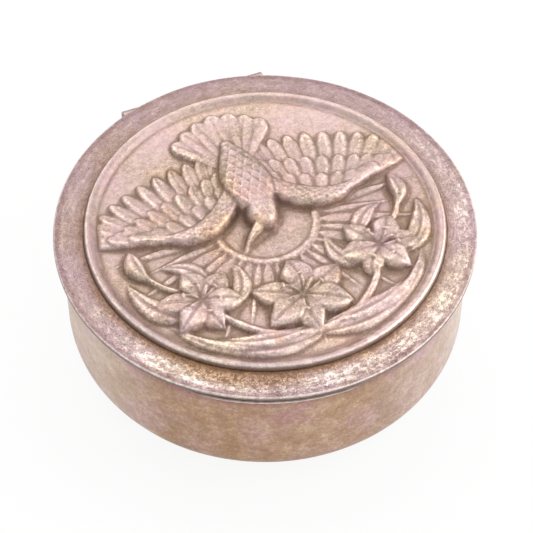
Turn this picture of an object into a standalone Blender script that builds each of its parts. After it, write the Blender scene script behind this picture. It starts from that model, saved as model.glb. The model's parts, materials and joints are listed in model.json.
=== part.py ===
"""Round silver pill box with a hinged lid and a pressed relief medallion.

The frame is metres with +Z up. The origin is the centre of the flat base, the hinge
lies at the back (+Y) along X, and the picture on the lid reads upright from -Y.
The relief is laid out on a field whose radius is PICTURE_UNITS layout units, each a
millimetre at this size.
"""

import math

import bmesh
import bpy
import numpy as np
from mathutils import Matrix

MM = 0.001
SEGMENTS = 80

# Cup
BODY_RADIUS = 20.2 * MM
BODY_HEIGHT = 13.4 * MM
BODY_WALL = 0.7 * MM
CORNER_RADIUS = 4.1 * MM
RIM_EASE = 0.08 * MM
CORNER_STEPS = 6

# Gaps between pieces that are soldered, seated or closed on each other
SEAT_GAP = 0.10 * MM
SEAM_GAP = 0.10 * MM

# Band inside the mouth that guides the lid
BAND_WALL = 0.4 * MM
BAND_HEIGHT = 3.9 * MM
BAND_GAP = 0.05 * MM
BAND_NOTCH_DEPTH = 1.5 * MM
BAND_NOTCH_MARGIN = 0.45 * MM

# Lid frame: flange, skirt and seat of the medallion
FLANGE_OVERHANG = 0.8 * MM
FLANGE_THICKNESS = 0.45 * MM
FLANGE_EASE = 0.07 * MM
FLANGE_CROWN = 0.15 * MM
SKIRT_HEIGHT = 0.65 * MM
SKIRT_WALL = 0.65 * MM
SKIRT_PROUD = 0.05 * MM
FRAME_SHEET = 0.4 * MM
RECESS_DEPTH = 0.35 * MM
SEAT_LEDGE = 1.2 * MM

# Half-round strip under the flange at the front, for a thumbnail
LIP_WIDTH = 0.55 * MM
LIP_HEIGHT = 0.4 * MM
LIP_SPAN = 47.0
LIP_BEARING = -19.5
LIP_STEPS = 14

# Medallion, and the part of the flange that it leaves bare
RIM_WIDTH = 3.0 * MM
BORDER_WIDTH = 1.3 * MM
BORDER_HEIGHT = 0.45 * MM
BORDER_RINGS = 6
MEDALLION_SHEET = 0.35 * MM
RELIEF_DEPTH = 0.72
FIELD_CELLS = 120
MEDALLION_TRIANGLES = 7600

# Hinge
HINGE_INSET = 0.2 * MM
HINGE_LENGTH = 15.7 * MM
KNUCKLES = 5
KNUCKLE_RADIUS = 0.85 * MM
KNUCKLE_GAP = 0.08 * MM
KNUCKLE_EASE = 0.06 * MM
GROOVE_GAP = 0.06 * MM
GROOVE_END_GAP = 0.08 * MM
PIN_RADIUS = 0.45 * MM
PIN_CLEARANCE = 0.05 * MM
PIN_PROUD = 0.15 * MM
KNUCKLE_SIDES = 16

# Heights and radii that follow from the sizes above
SKIRT_FOOT = BODY_HEIGHT + SEAM_GAP
FLANGE_UNDER = SKIRT_FOOT + SKIRT_HEIGHT
FLANGE_TOP = FLANGE_UNDER + FLANGE_THICKNESS
CROWN_TOP = FLANGE_TOP + FLANGE_CROWN
SEAT_TOP = CROWN_TOP - RECESS_DEPTH
FRAME_UNDER = SEAT_TOP - FRAME_SHEET
MEDALLION_UNDER = SEAT_TOP + SEAT_GAP
FIELD_TOP = MEDALLION_UNDER + MEDALLION_SHEET
FLANGE_RADIUS = BODY_RADIUS + FLANGE_OVERHANG
MEDALLION_RADIUS = FLANGE_RADIUS - RIM_WIDTH
SKIRT_OUTER = BODY_RADIUS + SKIRT_PROUD
BAND_OUTER = BODY_RADIUS - BODY_WALL - BAND_GAP
FIELD_RADIUS = MEDALLION_RADIUS - BORDER_WIDTH
HINGE_Y = BODY_RADIUS - HINGE_INSET
HINGE_Z = BODY_HEIGHT

# Layout of the relief, in layout units
PICTURE_UNITS = 16.7
FINEST_FLUTE = 0.16
ROUND_END = (2.0, 0.5)
POINTED_END = (1.6, 1.0)


def clear_scene():
    """Remove every object, so that the model starts from nothing."""
    for thing in list(bpy.data.objects):
        bpy.data.objects.remove(thing, do_unlink=True)


def metal(name, colour, roughness):
    """Return a silver material of the given tone."""
    material = bpy.data.materials.new(name)
    material.use_nodes = True
    shader = material.node_tree.nodes["Principled BSDF"]
    shader.inputs["Base Color"].default_value = (*colour, 1.0)
    shader.inputs["Metallic"].default_value = 1.0
    shader.inputs["Roughness"].default_value = roughness
    return material


def place(name, mesh, material, parent=None, location=(0.0, 0.0, 0.0), turn=(0.0, 0.0, 0.0)):
    """Link a mesh to the scene as a smooth-shaded object."""
    mesh.materials.append(material)
    mesh.shade_smooth()
    mesh.set_sharp_from_angle(angle=math.radians(35))
    thing = bpy.data.objects.new(name, mesh)
    bpy.context.scene.collection.objects.link(thing)
    thing.parent = parent
    thing.location = location
    thing.rotation_euler = turn
    return thing


def finished(name, bm):
    """Turn a bmesh into a mesh whose faces all point outwards."""
    bmesh.ops.remove_doubles(bm, verts=bm.verts, dist=1e-7)
    bmesh.ops.recalc_face_normals(bm, faces=bm.faces)
    mesh = bpy.data.meshes.new(name)
    bm.to_mesh(mesh)
    bm.free()
    return mesh


def turned(name, section, closed=True, segments=SEGMENTS, span=360.0):
    """Spin a section of (radius, height) points about Z, capped where the turn is not full."""
    bm = bmesh.new()
    points = [bm.verts.new((radius, 0.0, height)) for radius, height in section]
    edges = [bm.edges.new(pair) for pair in zip(points, points[1:])]
    if closed:
        edges.append(bm.edges.new((points[-1], points[0])))
    bmesh.ops.spin(bm, geom=points + edges, cent=(0, 0, 0), axis=(0, 0, 1),
                   angle=math.radians(span), steps=segments, use_merge=span == 360.0)
    bmesh.ops.holes_fill(bm, edges=[edge for edge in bm.edges if edge.is_boundary])
    return finished(name, bm)


def arc(centre, radius, start, end, steps):
    """Points of an arc in the (radius, height) plane, angles in degrees."""
    points = []
    for step in range(steps + 1):
        angle = math.radians(start + (end - start) * step / steps)
        points.append((centre[0] + radius * math.cos(angle), centre[1] + radius * math.sin(angle)))
    return points


def subtract(thing, cutter):
    """Cut a piece with a hidden solid."""
    modifier = thing.modifiers.new("cut_" + cutter.name, "BOOLEAN")
    modifier.operation = "DIFFERENCE"
    modifier.solver = "EXACT"
    modifier.object = cutter


def hidden(name, mesh, location, turn=(0.0, 0.0, 0.0)):
    """Place a cutter, which is no piece of the box."""
    cutter = bpy.data.objects.new(name, mesh)
    bpy.context.scene.collection.objects.link(cutter)
    cutter.location = location
    cutter.rotation_euler = turn
    cutter.display_type = "WIRE"
    cutter.hide_render = True
    return cutter


def groove_cutter():
    """Round bar that clears the knuckles in the cup wall and in the lid frame."""
    radius = KNUCKLE_RADIUS + GROOVE_GAP
    half = HINGE_LENGTH / 2 + GROOVE_END_GAP
    mesh = turned("groove_cutter", [(0, -half), (radius, -half), (radius, half), (0, half)],
                  closed=False, segments=2 * KNUCKLE_SIDES)
    return hidden("groove_cutter", mesh, (0, HINGE_Y, HINGE_Z), (0, math.pi / 2, 0))


def notch_cutter():
    """Block that clears the upper edge of the band along the hinge."""
    bm = bmesh.new()
    bmesh.ops.create_cube(bm, size=1.0)
    wide = HINGE_LENGTH + 2 * BAND_NOTCH_MARGIN
    deep = BODY_RADIUS / 2
    tall = 2 * BAND_HEIGHT
    bmesh.ops.scale(bm, vec=(wide, deep, tall), verts=bm.verts)
    foot = FRAME_UNDER - BAND_NOTCH_DEPTH
    return hidden("notch_cutter", finished("notch_cutter", bm), (0, BODY_RADIUS, foot + tall / 2))


def body_cup(material, groove):
    """Raised cup: flat base, rounded corner, straight wall and a groove for the hinge."""
    inner = BODY_RADIUS - BODY_WALL
    inner_corner = CORNER_RADIUS - BODY_WALL
    bend = (BODY_RADIUS - CORNER_RADIUS, CORNER_RADIUS)
    section = [(0, 0)]
    section += arc(bend, CORNER_RADIUS, -90, 0, CORNER_STEPS)
    section += [(BODY_RADIUS, BODY_HEIGHT - RIM_EASE), (BODY_RADIUS - RIM_EASE, BODY_HEIGHT)]
    section += [(inner + RIM_EASE, BODY_HEIGHT), (inner, BODY_HEIGHT - RIM_EASE)]
    section += arc(bend, inner_corner, 0, -90, CORNER_STEPS)
    section += [(0, BODY_WALL)]
    cup = place("body_cup", turned("body_cup", section, closed=False), material)
    subtract(cup, groove)
    return cup


def bezel_band(material, notch):
    """Thin upright band soldered in the mouth, cut away along the hinge."""
    top = FRAME_UNDER - SEAT_GAP
    foot = top - BAND_HEIGHT
    inner = BAND_OUTER - BAND_WALL
    section = [(inner, foot), (BAND_OUTER, foot), (BAND_OUTER, top - RIM_EASE),
               (BAND_OUTER - RIM_EASE, top), (inner, top)]
    band = place("bezel_band", turned("bezel_band", section), material)
    subtract(band, notch)
    return band


def lid_frame(material, groove, hinge):
    """Turned ring with an overhanging flange, a short skirt and a stepped seat."""
    hole = MEDALLION_RADIUS - SEAT_LEDGE
    recess = MEDALLION_RADIUS + SEAT_GAP
    skirt_inner = SKIRT_OUTER - SKIRT_WALL
    crown_run = FLANGE_RADIUS - FLANGE_EASE - recess
    section = [(hole, FRAME_UNDER), (skirt_inner, FRAME_UNDER), (skirt_inner, SKIRT_FOOT),
               (SKIRT_OUTER, SKIRT_FOOT), (SKIRT_OUTER, FLANGE_UNDER),
               (FLANGE_RADIUS - FLANGE_EASE, FLANGE_UNDER), (FLANGE_RADIUS, FLANGE_UNDER + FLANGE_EASE),
               (FLANGE_RADIUS, FLANGE_TOP - FLANGE_EASE)]
    for step in range(4):
        inward = step / 3
        rise = FLANGE_CROWN * (1 - (1 - inward) ** 2)
        section.append((FLANGE_RADIUS - FLANGE_EASE - crown_run * inward, FLANGE_TOP + rise))
    section += [(recess, SEAT_TOP), (hole, SEAT_TOP)]
    frame = place("lid_frame", turned("lid_frame", section), material, hinge, (0, -HINGE_Y, -HINGE_Z))
    subtract(frame, groove)
    return frame


def thumb_lip(material, hinge):
    """Strip with a rounded outer edge, soldered under the flange, spanning part of the front."""
    top = FLANGE_UNDER - SEAT_GAP
    foot = top - LIP_HEIGHT
    inner = FLANGE_RADIUS - LIP_WIDTH
    round_centre = (FLANGE_RADIUS - LIP_HEIGHT / 2, top - LIP_HEIGHT / 2)
    section = [(inner, top), (inner, foot)] + arc(round_centre, LIP_HEIGHT / 2, -90, 90, 4)
    mesh = turned("thumb_lip", section, segments=LIP_STEPS, span=LIP_SPAN)
    mesh.transform(Matrix.Rotation(math.radians(LIP_BEARING - LIP_SPAN / 2 - 90), 4, "Z"))
    return place("thumb_lip", mesh, material, hinge, (0, -HINGE_Y, -HINGE_Z))


def at(start, degrees, distance):
    """Point at a bearing and distance from another point."""
    angle = math.radians(degrees)
    return (start[0] + distance * math.cos(angle), start[1] + distance * math.sin(angle))


def mirrored(points, side):
    """Points with x multiplied by side, which is 1 or -1."""
    return [(x * side, y) for x, y in points]


class Relief:
    """Height field of the medallion, built up from overlapping leaf-shaped lobes."""

    def __init__(self, x, y):
        self.x = x
        self.y = y
        dome = 0.10 * (1 - (np.hypot(x, y) / PICTURE_UNITS) ** 2)
        self.z = dome + 0.02 * np.sin(0.55 * x + 0.3) * np.cos(0.47 * y - 0.8)

    def lobe(self, path, width, lift, crown=0.3, full=0.5, root=0.35, end=ROUND_END, rib=0.0,
             tilt=0.0, edge=0.3, steep=3.2, barbs=0.0, scales=0.0, melt=0.0, steps=26):
        """Raise a leaf along the quadratic curve path, wherever it stands above the rest.

        With s the share of the way along the curve and t the distance from it over the
        half-width w(s), the height is
            lift(s) + crown * sqrt(1 - t^2) - rib * exp(-(d / 0.16)^2) + tilt * t
        and w(s) rises by a sine from root to full, then closes as (1 - q^a)^b, where (a, b)
        is the end. Barbs are slanting flutes, and scales are rows of rounded feathers.
        """
        share = np.linspace(0, 1, steps)[:, None]
        first, bend, last = (np.array(point, float) for point in path)
        line = (1 - share) ** 2 * first + 2 * share * (1 - share) * bend + share ** 2 * last
        reach = width + 0.5
        low, high = line.min(axis=0) - reach, line.max(axis=0) + reach
        near = (self.x > low[0]) & (self.x < high[0]) & (self.y > low[1]) & (self.y < high[1])
        if not near.any():
            return
        point = np.stack([self.x[near], self.y[near]], axis=-1)
        step = line[1:] - line[:-1]
        offset = point[:, None, :] - line[None, :-1]
        along = np.clip((offset * step).sum(-1) / (step * step).sum(-1), 0, 1)
        squared = ((offset - along[..., None] * step) ** 2).sum(-1)
        nearest = squared.argmin(axis=1)
        row = np.arange(len(point))
        d = np.sqrt(squared[row, nearest])
        s = (nearest + along[row, nearest]) / (steps - 1)
        cross = step[nearest, 0] * offset[row, nearest, 1] - step[nearest, 1] * offset[row, nearest, 0]
        side = np.sign(cross)
        length = np.linalg.norm(step, axis=1).sum()
        opening = root + (1 - root) * np.sin(np.pi / 2 * np.clip(s / full, 0, 1))
        past = np.clip((s - full) / (1 - full), 0, 1)
        half = width * np.where(s < full, opening, (1 - past ** end[0]) ** end[1])
        t = np.clip(d / np.maximum(half, 1e-6), 0, 1)
        base = lift[0] * (2 * s - 1) * (s - 1) + lift[1] * 4 * s * (1 - s) + lift[2] * s * (2 * s - 1)
        z = base + crown * np.sqrt(1 - t ** 2) - rib * np.exp(-(d / FINEST_FLUTE) ** 2) + tilt * t * side
        z += barbs * np.sin(2 * np.pi * (s * length - 0.9 * d) / (2 * FINEST_FLUTE))
        if scales:
            z += self.feathering((1 - s) * length / scales, d * side / scales) * 0.16 * scales
        inside = half - d
        shoulder = 0.45 * (0.7 * max(lift) + 0.3 * crown)
        z -= shoulder * np.clip(1 - inside / edge, 0, 1) ** 2 + steep * np.clip(-inside, 0, None)
        old = self.z[near]
        if melt:
            blend = np.clip(0.5 + 0.5 * (z - old) / melt, 0, 1)
            z = old + (z - old) * blend + melt * blend * (1 - blend)
        self.z[near] = np.maximum(old, z)

    @staticmethod
    def feathering(v, u):
        """Overlapping rounded feathers: highest at each tip, lower where the next one covers."""
        row = np.floor(v)
        tips = []
        for ahead in (0, 1):
            shift = 0.5 * ((row + ahead) % 2)
            across = 2 * (u - shift - np.round(u - shift))
            tips.append(row + ahead + 0.95 * np.sqrt(1 - across ** 2))
        tip = np.where(v < tips[0], tips[0], tips[1])
        return 1 - 0.62 * (tip - v)

    def glory(self):
        """Nimbus behind the head, with straight rays out to the border."""
        centre = (0, 0.3)
        for ray in range(40):
            long_ray = ray % 2 == 0
            bearing = 9 * ray
            path = [at(centre, bearing, 5.6), at(centre, bearing, 8.5), at(centre, bearing, 16.2 if long_ray else 13.2)]
            self.lobe(path, 0.62 if long_ray else 0.42, (0.14, 0.22, 0.08), crown=0.14, full=0.3,
                      root=0.4, end=POINTED_END, edge=0.15)
        radius = np.hypot(self.x - centre[0], self.y - centre[1])
        self.z = np.maximum(self.z, np.where(radius < 5.0, 0.16, -1))
        off_ring = np.abs(radius - 5.15)
        ring = 0.45 * np.sqrt(np.clip(1 - (off_ring / 0.5) ** 2, 0, 1))
        self.z = np.maximum(self.z, ring - 3 * np.clip(off_ring - 0.5, 0, None))

    def leaf(self, path, width, lift, side):
        """Long pointed leaf with a sunk midrib."""
        self.lobe(path, width, (0.6 * lift, lift + 0.15, 0.25 * lift), crown=0.28, full=0.42,
                  root=0.25, end=POINTED_END, rib=0.22, tilt=0.13 * side, edge=0.26)

    def stem(self, path, width):
        """Rounded stalk."""
        self.lobe(path, width, (0.4, 0.6, 0.6), crown=0.8 * width, root=1, edge=0.2)

    def lily(self, centre, size, turn, lift, squash=0.93):
        """Six-petalled flower with six stamens and a pistil, seen a little from below."""
        def laid(point):
            return (point[0], centre[1] + (point[1] - centre[1]) * squash)

        for layer, (start, reach, breadth) in enumerate([(30, 1.0, 0.27), (90, 0.96, 0.30)]):
            up = lift + 0.28 * layer
            for petal in range(3):
                bearing = turn + start + 120 * petal
                bow = 13 if petal % 2 else -13
                length = size * reach * (1 + 0.06 * math.sin(3.1 * petal + turn))
                path = [centre, laid(at(centre, bearing + bow, 0.55 * length)), laid(at(centre, bearing, length))]
                self.lobe(path, size * breadth, (0.35 * up, up + 0.22, 0.30 * up), crown=0.22, full=0.52,
                          root=0.30, end=POINTED_END, rib=0.17, tilt=0.06, edge=0.22)
        for stamen in range(6):
            bearing = turn + 60 * stamen
            tip = at(centre, bearing + 17, 0.40 * size)
            self.lobe([centre, at(centre, bearing + 5, 0.24 * size), tip], 0.11,
                      (0.6 * lift, lift + 0.50, lift + 0.55), crown=0.14, root=1, edge=0.1)
            self.lobe([at(tip, bearing + 107, 0.32), tip, at(tip, bearing - 73, 0.32)], 0.19,
                      (lift + 0.6, lift + 0.72, lift + 0.6), crown=0.18, root=0.6, edge=0.12)
        pistil = [centre, at(centre, turn + 40, 0.2 * size), at(centre, turn + 40, 0.36 * size)]
        self.lobe(pistil, 0.22, (0.7 * lift, lift + 0.65, lift + 0.85), crown=0.22, root=0.8, edge=0.12)

    def bud(self, foot, bend, tip):
        """Closed flower with one petal folded over the rest."""
        self.lobe([foot, bend, tip], 0.92, (0.4, 0.75, 0.3), crown=0.6, full=0.45, root=0.5,
                  end=POINTED_END)
        middle = ((foot[0] + tip[0]) / 2, (foot[1] + tip[1]) / 2)
        self.lobe([foot, middle, tip], 0.34, (0.9, 1.45, 0.6), crown=0.2, full=0.45, root=0.5,
                  end=POINTED_END, edge=0.15)

    def spray(self):
        """Lilies, buds and leaves that rise on both sides from one stalk."""
        for side in (-1, 1):
            self.leaf(mirrored([(1.0, -15.0), (9.6, -16.2), (13.3, -8.2)], side), 1.25, 0.40, side)
            self.leaf(mirrored([(1.6, -13.4), (6.6, -14.6), (9.8, -11.4)], side), 1.0, 0.62, -side)
            self.leaf(mirrored([(11.4, -8.6), (15.0, -6.6), (15.3, -2.0)], side), 1.15, 0.45, side)
            self.leaf(mirrored([(7.8, -5.2), (8.6, -2.4), (11.8, -1.6)], side), 1.0, 0.50, -side)
            self.leaf(mirrored([(6.6, -8.4), (4.2, -6.8), (5.0, -3.2)], side), 1.0, 0.45, side)
            self.stem(mirrored([(0.5, -15.6), (6.0, -13.8), (9.2, -7.4)], side), 0.42)
            self.stem(mirrored([(10.0, -5.6), (13.0, -4.2), (13.9, -0.6)], side), 0.30)
            self.bud(*mirrored([(13.3, -2.4), (14.6, -0.7), (13.8, 1.5)], side))
        self.stem([(0, -16), (0.3, -13), (0, -10.4)], 0.46)
        self.lily((-9.3, -6.9), 4.6, 12, 0.75)
        self.lily((9.3, -6.9), 4.6, -32, 0.75)
        self.lily((0, -9.9), 5.4, 0, 0.95, squash=0.9)

    def wing(self, side):
        """Spread wing: three rows of feathers fanned from a curved leading edge."""
        start, bend, tip = mirrored([(1.4, 4.9), (6.0, -1.7), (10.9, 2.0)], side)
        rows = [(13, 1.0, 0.86, 0.34, 0.08), (11, 0.62, 0.84, 0.70, 0.08), (9, 0.34, 0.78, 0.98, 0.0)]
        for count, scale, breadth, lift, rib in rows:
            for feather in range(count):
                u = 0.03 + 0.97 * feather / (count - 1)
                root = [(1 - u) ** 2 * start[i] + 2 * u * (1 - u) * bend[i] + u * u * tip[i] for i in (0, 1)]
                bearing = 95 - 82 * u ** 1.2
                length = (5.6 + 3.9 * math.sin(math.pi * min(0.86 * u, 1)) ** 0.8) * scale
                middle = at((0, 0), bearing, 0.55 * length)
                outer = at(middle, bearing + 18, 0.45 * length)
                path = [root, (root[0] + side * middle[0], root[1] + middle[1]),
                        (root[0] + side * outer[0], root[1] + outer[1])]
                up = lift - 0.012 * feather
                self.lobe(path, breadth, (up + 0.15, up + 0.12, up), crown=0.24, full=0.72, root=0.7,
                          rib=rib, tilt=-0.13 * side, edge=0.2, barbs=rib / 4, steep=3)
        self.lobe([start, bend, tip], 1.2, (1.0, 1.2, 0.6), crown=0.6, full=0.35, root=0.9,
                  end=(2, 0.8), edge=0.4, scales=0.62)

    def dove(self):
        """Descending dove: fanned tail, wings, breast, head and bill."""
        rump = (0, 6.4)
        for order, lean in enumerate([-36, 36, -24, 24, -12, 12, 0]):
            up = 0.5 + 0.05 * order
            path = [(0.004 * lean, rump[1]), at(rump, 90 - 0.8 * lean, 5), at(rump, 90 - lean, 9.1 - abs(lean) / 60)]
            self.lobe(path, 1.12, (up, up + 0.05, up - 0.05), crown=0.24, full=0.8, root=0.35,
                      rib=0.09, tilt=-0.1 * np.sign(lean), edge=0.2, barbs=0.02)
        for side in (-1, 1):
            self.wing(side)
        self.lobe([(0, 10.6), (0.15, 5.8), (0, 1.0)], 2.6, (0.55, 1.45, 1.35), crown=0.9, full=0.62,
                  root=0.16, end=(2, 0.55), edge=0.6, scales=0.95)
        self.lobe([(0.35, 3.4), (0.35, 0.8), (-0.75, -0.9)], 1.55, (1.55, 1.65, 1.2), crown=0.85,
                  full=0.55, root=1, end=(2.4, 0.5), edge=0.5, scales=0.5, melt=0.3)
        self.lobe([(-0.5, -0.4), (-2.0, -1.2), (-3.3, -2.9)], 0.55, (1.7, 1.35, 0.8), crown=0.4,
                  full=0.15, root=1, end=(1.3, 0.9), edge=0.2)
        from_eye = np.hypot(self.x + 0.95, self.y - 0.05)
        self.z += 0.12 * np.exp(-((from_eye - 0.36) / 0.10) ** 2) - 0.10 * np.exp(-(from_eye / 0.16) ** 2)


def field_height(x, y):
    """Height of the relief above the field, faded out where it meets the border."""
    unit = FIELD_RADIUS / PICTURE_UNITS
    relief = Relief(x / unit, y / unit)
    relief.glory()
    relief.spray()
    relief.dove()
    fade = np.clip((1.015 - np.hypot(x, y) / FIELD_RADIUS) / 0.048, 0, 1)
    return relief.z * fade * fade * (3 - 2 * fade) * RELIEF_DEPTH * unit


def border_height(radius):
    """Rounded ridge that rings the field."""
    middle = FIELD_RADIUS + BORDER_WIDTH / 2
    off = np.abs(radius - middle) / (BORDER_WIDTH / 2)
    return BORDER_HEIGHT * (1 - np.clip(off, 0, 1) ** 2.6)


def pressed_height(x, y):
    """Softened height of the hollow back, nowhere above the face less the sheet."""
    spacing = FIELD_RADIUS / 64
    line = np.arange(-68, 69) * spacing
    face = field_height(*(grid.ravel() for grid in np.meshgrid(line, line)))
    face = np.maximum(face, 0).reshape(len(line), len(line))
    shifts = [(i, j) for i in range(-4, 5) for j in range(-4, 5) if i * i + j * j <= 16]
    lowest = np.min([np.roll(face, shift, (0, 1)) for shift in shifts], axis=0)
    for _ in range(2):
        around = [np.roll(lowest, (i, j), (0, 1)) for i in range(-2, 3) for j in range(-2, 3)
                  if i * i + j * j <= 4]
        lowest = np.mean(around, axis=0)
    column = np.clip((x - line[0]) / spacing, 0, len(line) - 1.001)
    row = np.clip((y - line[0]) / spacing, 0, len(line) - 1.001)
    i, j = row.astype(int), column.astype(int)
    p, q = row - i, column - j
    upper = lowest[i, j] * (1 - q) + lowest[i, j + 1] * q
    lower = lowest[i + 1, j] * (1 - q) + lowest[i + 1, j + 1] * q
    return upper * (1 - p) + lower * p


def disc_grid(cells):
    """Square grid mapped evenly onto the unit disc, with the indices round its edge."""
    line = np.linspace(-1, 1, cells + 1)
    a, b = (grid.ravel() for grid in np.meshgrid(line, line))
    wide = np.abs(a) > np.abs(b)
    radius = np.where(wide, a, b)
    safe = np.where(radius == 0, 1, radius)
    angle = np.where(wide, np.pi / 4 * b / safe, np.pi / 2 - np.pi / 4 * a / safe)
    index = np.arange((cells + 1) ** 2).reshape(cells + 1, cells + 1)
    edge = np.concatenate([index[0, :-1], index[:-1, -1], index[-1, :0:-1], index[:0:-1, 0]])
    corner = index[:-1, :-1].ravel()
    quads = np.stack([corner, corner + 1, corner + cells + 2, corner + cells + 1], axis=1)
    return radius * np.cos(angle), radius * np.sin(angle), edge, quads


def thinned(mesh, triangles):
    """Collapse the edges that tell least, until about this many triangles are left."""
    mesh.transform(Matrix.Scale(1 / MM, 4))
    guide = bpy.data.objects.new("guide", mesh)
    bpy.context.scene.collection.objects.link(guide)
    thinning = guide.modifiers.new("thinning", "DECIMATE")
    thinning.ratio = triangles / (2 * len(mesh.polygons))
    shaped = guide.evaluated_get(bpy.context.evaluated_depsgraph_get())
    result = bpy.data.meshes.new_from_object(shaped)
    result.transform(Matrix.Scale(MM, 4))
    bpy.data.objects.remove(guide, do_unlink=True)
    return result


def lid_medallion(material, hinge):
    """Pressed sheet: relief and border on top, softened hollow beneath."""
    x, y, edge, quads = disc_grid(FIELD_CELLS)
    face = np.stack([x * FIELD_RADIUS, y * FIELD_RADIUS, np.zeros_like(x)], axis=1)
    face[:, 2] = FIELD_TOP + np.maximum(field_height(face[:, 0], face[:, 1]), 0)
    face[edge, 2] = FIELD_TOP
    hollow_radius = FIELD_RADIUS - BORDER_WIDTH / 2
    back = np.stack([x * hollow_radius, y * hollow_radius, np.zeros_like(x)], axis=1)
    back[:, 2] = MEDALLION_UNDER + pressed_height(back[:, 0], back[:, 1])
    back[edge, 2] = MEDALLION_UNDER
    rings = []
    for radius in np.linspace(FIELD_RADIUS, MEDALLION_RADIUS, BORDER_RINGS + 1)[1:]:
        rings.append((radius, FIELD_TOP + border_height(radius)))
    rings.append((MEDALLION_RADIUS, MEDALLION_UNDER))
    points = [face]
    faces = [quads]
    loop = edge
    used = len(face)
    for radius, height in rings:
        points.append(np.stack([x[edge] * radius, y[edge] * radius, np.full(len(edge), height)], axis=1))
        following = used + np.arange(len(edge))
        faces.append(np.stack([loop, following, np.roll(following, -1), np.roll(loop, -1)], axis=1))
        loop = following
        used += len(edge)
    points.append(back)
    inner = used + edge
    faces.append(np.stack([loop, inner, np.roll(inner, -1), np.roll(loop, -1)], axis=1))
    faces.append(quads[:, ::-1] + used)
    mesh = bpy.data.meshes.new("lid_medallion")
    mesh.from_pydata(np.concatenate(points).tolist(), [], np.concatenate(faces).tolist())
    return place("lid_medallion", thinned(mesh, MEDALLION_TRIANGLES), material, hinge, (0, -HINGE_Y, -HINGE_Z))


def knuckle_mesh(length):
    """Short tube along Z with eased ends."""
    bore = PIN_RADIUS + PIN_CLEARANCE
    half = length / 2
    section = [(bore, -half), (KNUCKLE_RADIUS - KNUCKLE_EASE, -half), (KNUCKLE_RADIUS, -half + KNUCKLE_EASE),
               (KNUCKLE_RADIUS, half - KNUCKLE_EASE), (KNUCKLE_RADIUS - KNUCKLE_EASE, half), (bore, half)]
    return turned("knuckle", section, segments=KNUCKLE_SIDES)


def knuckles(body_material, lid_material, hinge):
    """Tubes of the hinge, by turns on the cup and on the lid."""
    pitch = HINGE_LENGTH / KNUCKLES
    for number in range(KNUCKLES):
        x = (number + 0.5) * pitch - HINGE_LENGTH / 2
        turn = (0, math.pi / 2, 0)
        mesh = knuckle_mesh(pitch - KNUCKLE_GAP)
        if number % 2:
            place(f"lid_knuckle_{number // 2 + 1}", mesh, lid_material, hinge, (x, 0, 0), turn)
        else:
            place(f"body_knuckle_{number // 2 + 1}", mesh, body_material, None, (x, HINGE_Y, HINGE_Z), turn)


def hinge_pin(material):
    """Wire through all the knuckles, its ends domed by light riveting."""
    half = HINGE_LENGTH / 2
    section = [(0, -half - PIN_PROUD), (0.7 * PIN_RADIUS, -half - 0.7 * PIN_PROUD), (PIN_RADIUS, -half),
               (PIN_RADIUS, half), (0.7 * PIN_RADIUS, half + 0.7 * PIN_PROUD), (0, half + PIN_PROUD)]
    mesh = turned("hinge_pin", section, closed=False, segments=KNUCKLE_SIDES)
    return place("hinge_pin", mesh, material, None, (0, HINGE_Y, HINGE_Z), (0, math.pi / 2, 0))


def main():
    clear_scene()
    warm = metal("warm_silver", (0.62, 0.53, 0.47), 0.42)
    mauve = metal("mauve_silver", (0.60, 0.51, 0.53), 0.45)
    relief_silver = metal("relief_silver", (0.66, 0.58, 0.58), 0.40)
    inside = metal("inside_silver", (0.72, 0.68, 0.62), 0.30)
    wire = metal("hinge_silver", (0.55, 0.50, 0.46), 0.35)
    groove = groove_cutter()
    notch = notch_cutter()
    hinge = bpy.data.objects.new("lid_hinge", None)
    bpy.context.scene.collection.objects.link(hinge)
    hinge.location = (0, HINGE_Y, HINGE_Z)
    body_cup(warm, groove)
    bezel_band(inside, notch)
    lid_frame(mauve, groove, hinge)
    thumb_lip(mauve, hinge)
    lid_medallion(relief_silver, hinge)
    knuckles(warm, mauve, hinge)
    hinge_pin(wire)


if __name__ == "__main__":
    main()
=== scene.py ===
"""Fine surfaces and tarnished silver finishes for a round pill box with a hinged lid.

Lengths are metres, +Z is up, the hinge lies at the back (+Y) along X, and the picture on
the lid reads upright from -Y. Bearings are degrees anticlockwise from +X.
"""

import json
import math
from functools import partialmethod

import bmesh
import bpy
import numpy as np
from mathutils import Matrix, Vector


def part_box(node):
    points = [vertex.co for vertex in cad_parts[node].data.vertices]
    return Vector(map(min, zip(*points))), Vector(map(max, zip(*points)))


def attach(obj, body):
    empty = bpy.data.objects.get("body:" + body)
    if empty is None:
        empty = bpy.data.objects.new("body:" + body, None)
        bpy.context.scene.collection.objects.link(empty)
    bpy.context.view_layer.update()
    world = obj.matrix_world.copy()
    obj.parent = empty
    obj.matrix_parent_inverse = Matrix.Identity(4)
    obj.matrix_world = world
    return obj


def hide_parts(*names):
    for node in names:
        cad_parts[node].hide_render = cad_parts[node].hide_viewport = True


bl_info = {
    "name": "Silver Pill Box",
    "version": (1, 0, 0),
    "blender": (4, 5, 0),
    "location": "View3D > Sidebar > Pill Box",
    "description": "Fine surfaces and tarnished silver for a round hinged pill box",
    "category": "Add Mesh",
}

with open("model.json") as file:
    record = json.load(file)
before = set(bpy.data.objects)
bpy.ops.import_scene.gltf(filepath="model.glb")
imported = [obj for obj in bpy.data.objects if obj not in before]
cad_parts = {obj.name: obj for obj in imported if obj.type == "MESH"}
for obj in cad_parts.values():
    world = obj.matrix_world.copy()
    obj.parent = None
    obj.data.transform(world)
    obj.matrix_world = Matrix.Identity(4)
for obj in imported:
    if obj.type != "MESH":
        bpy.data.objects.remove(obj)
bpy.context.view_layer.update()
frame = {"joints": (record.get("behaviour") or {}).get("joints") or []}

MM = 0.001

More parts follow.
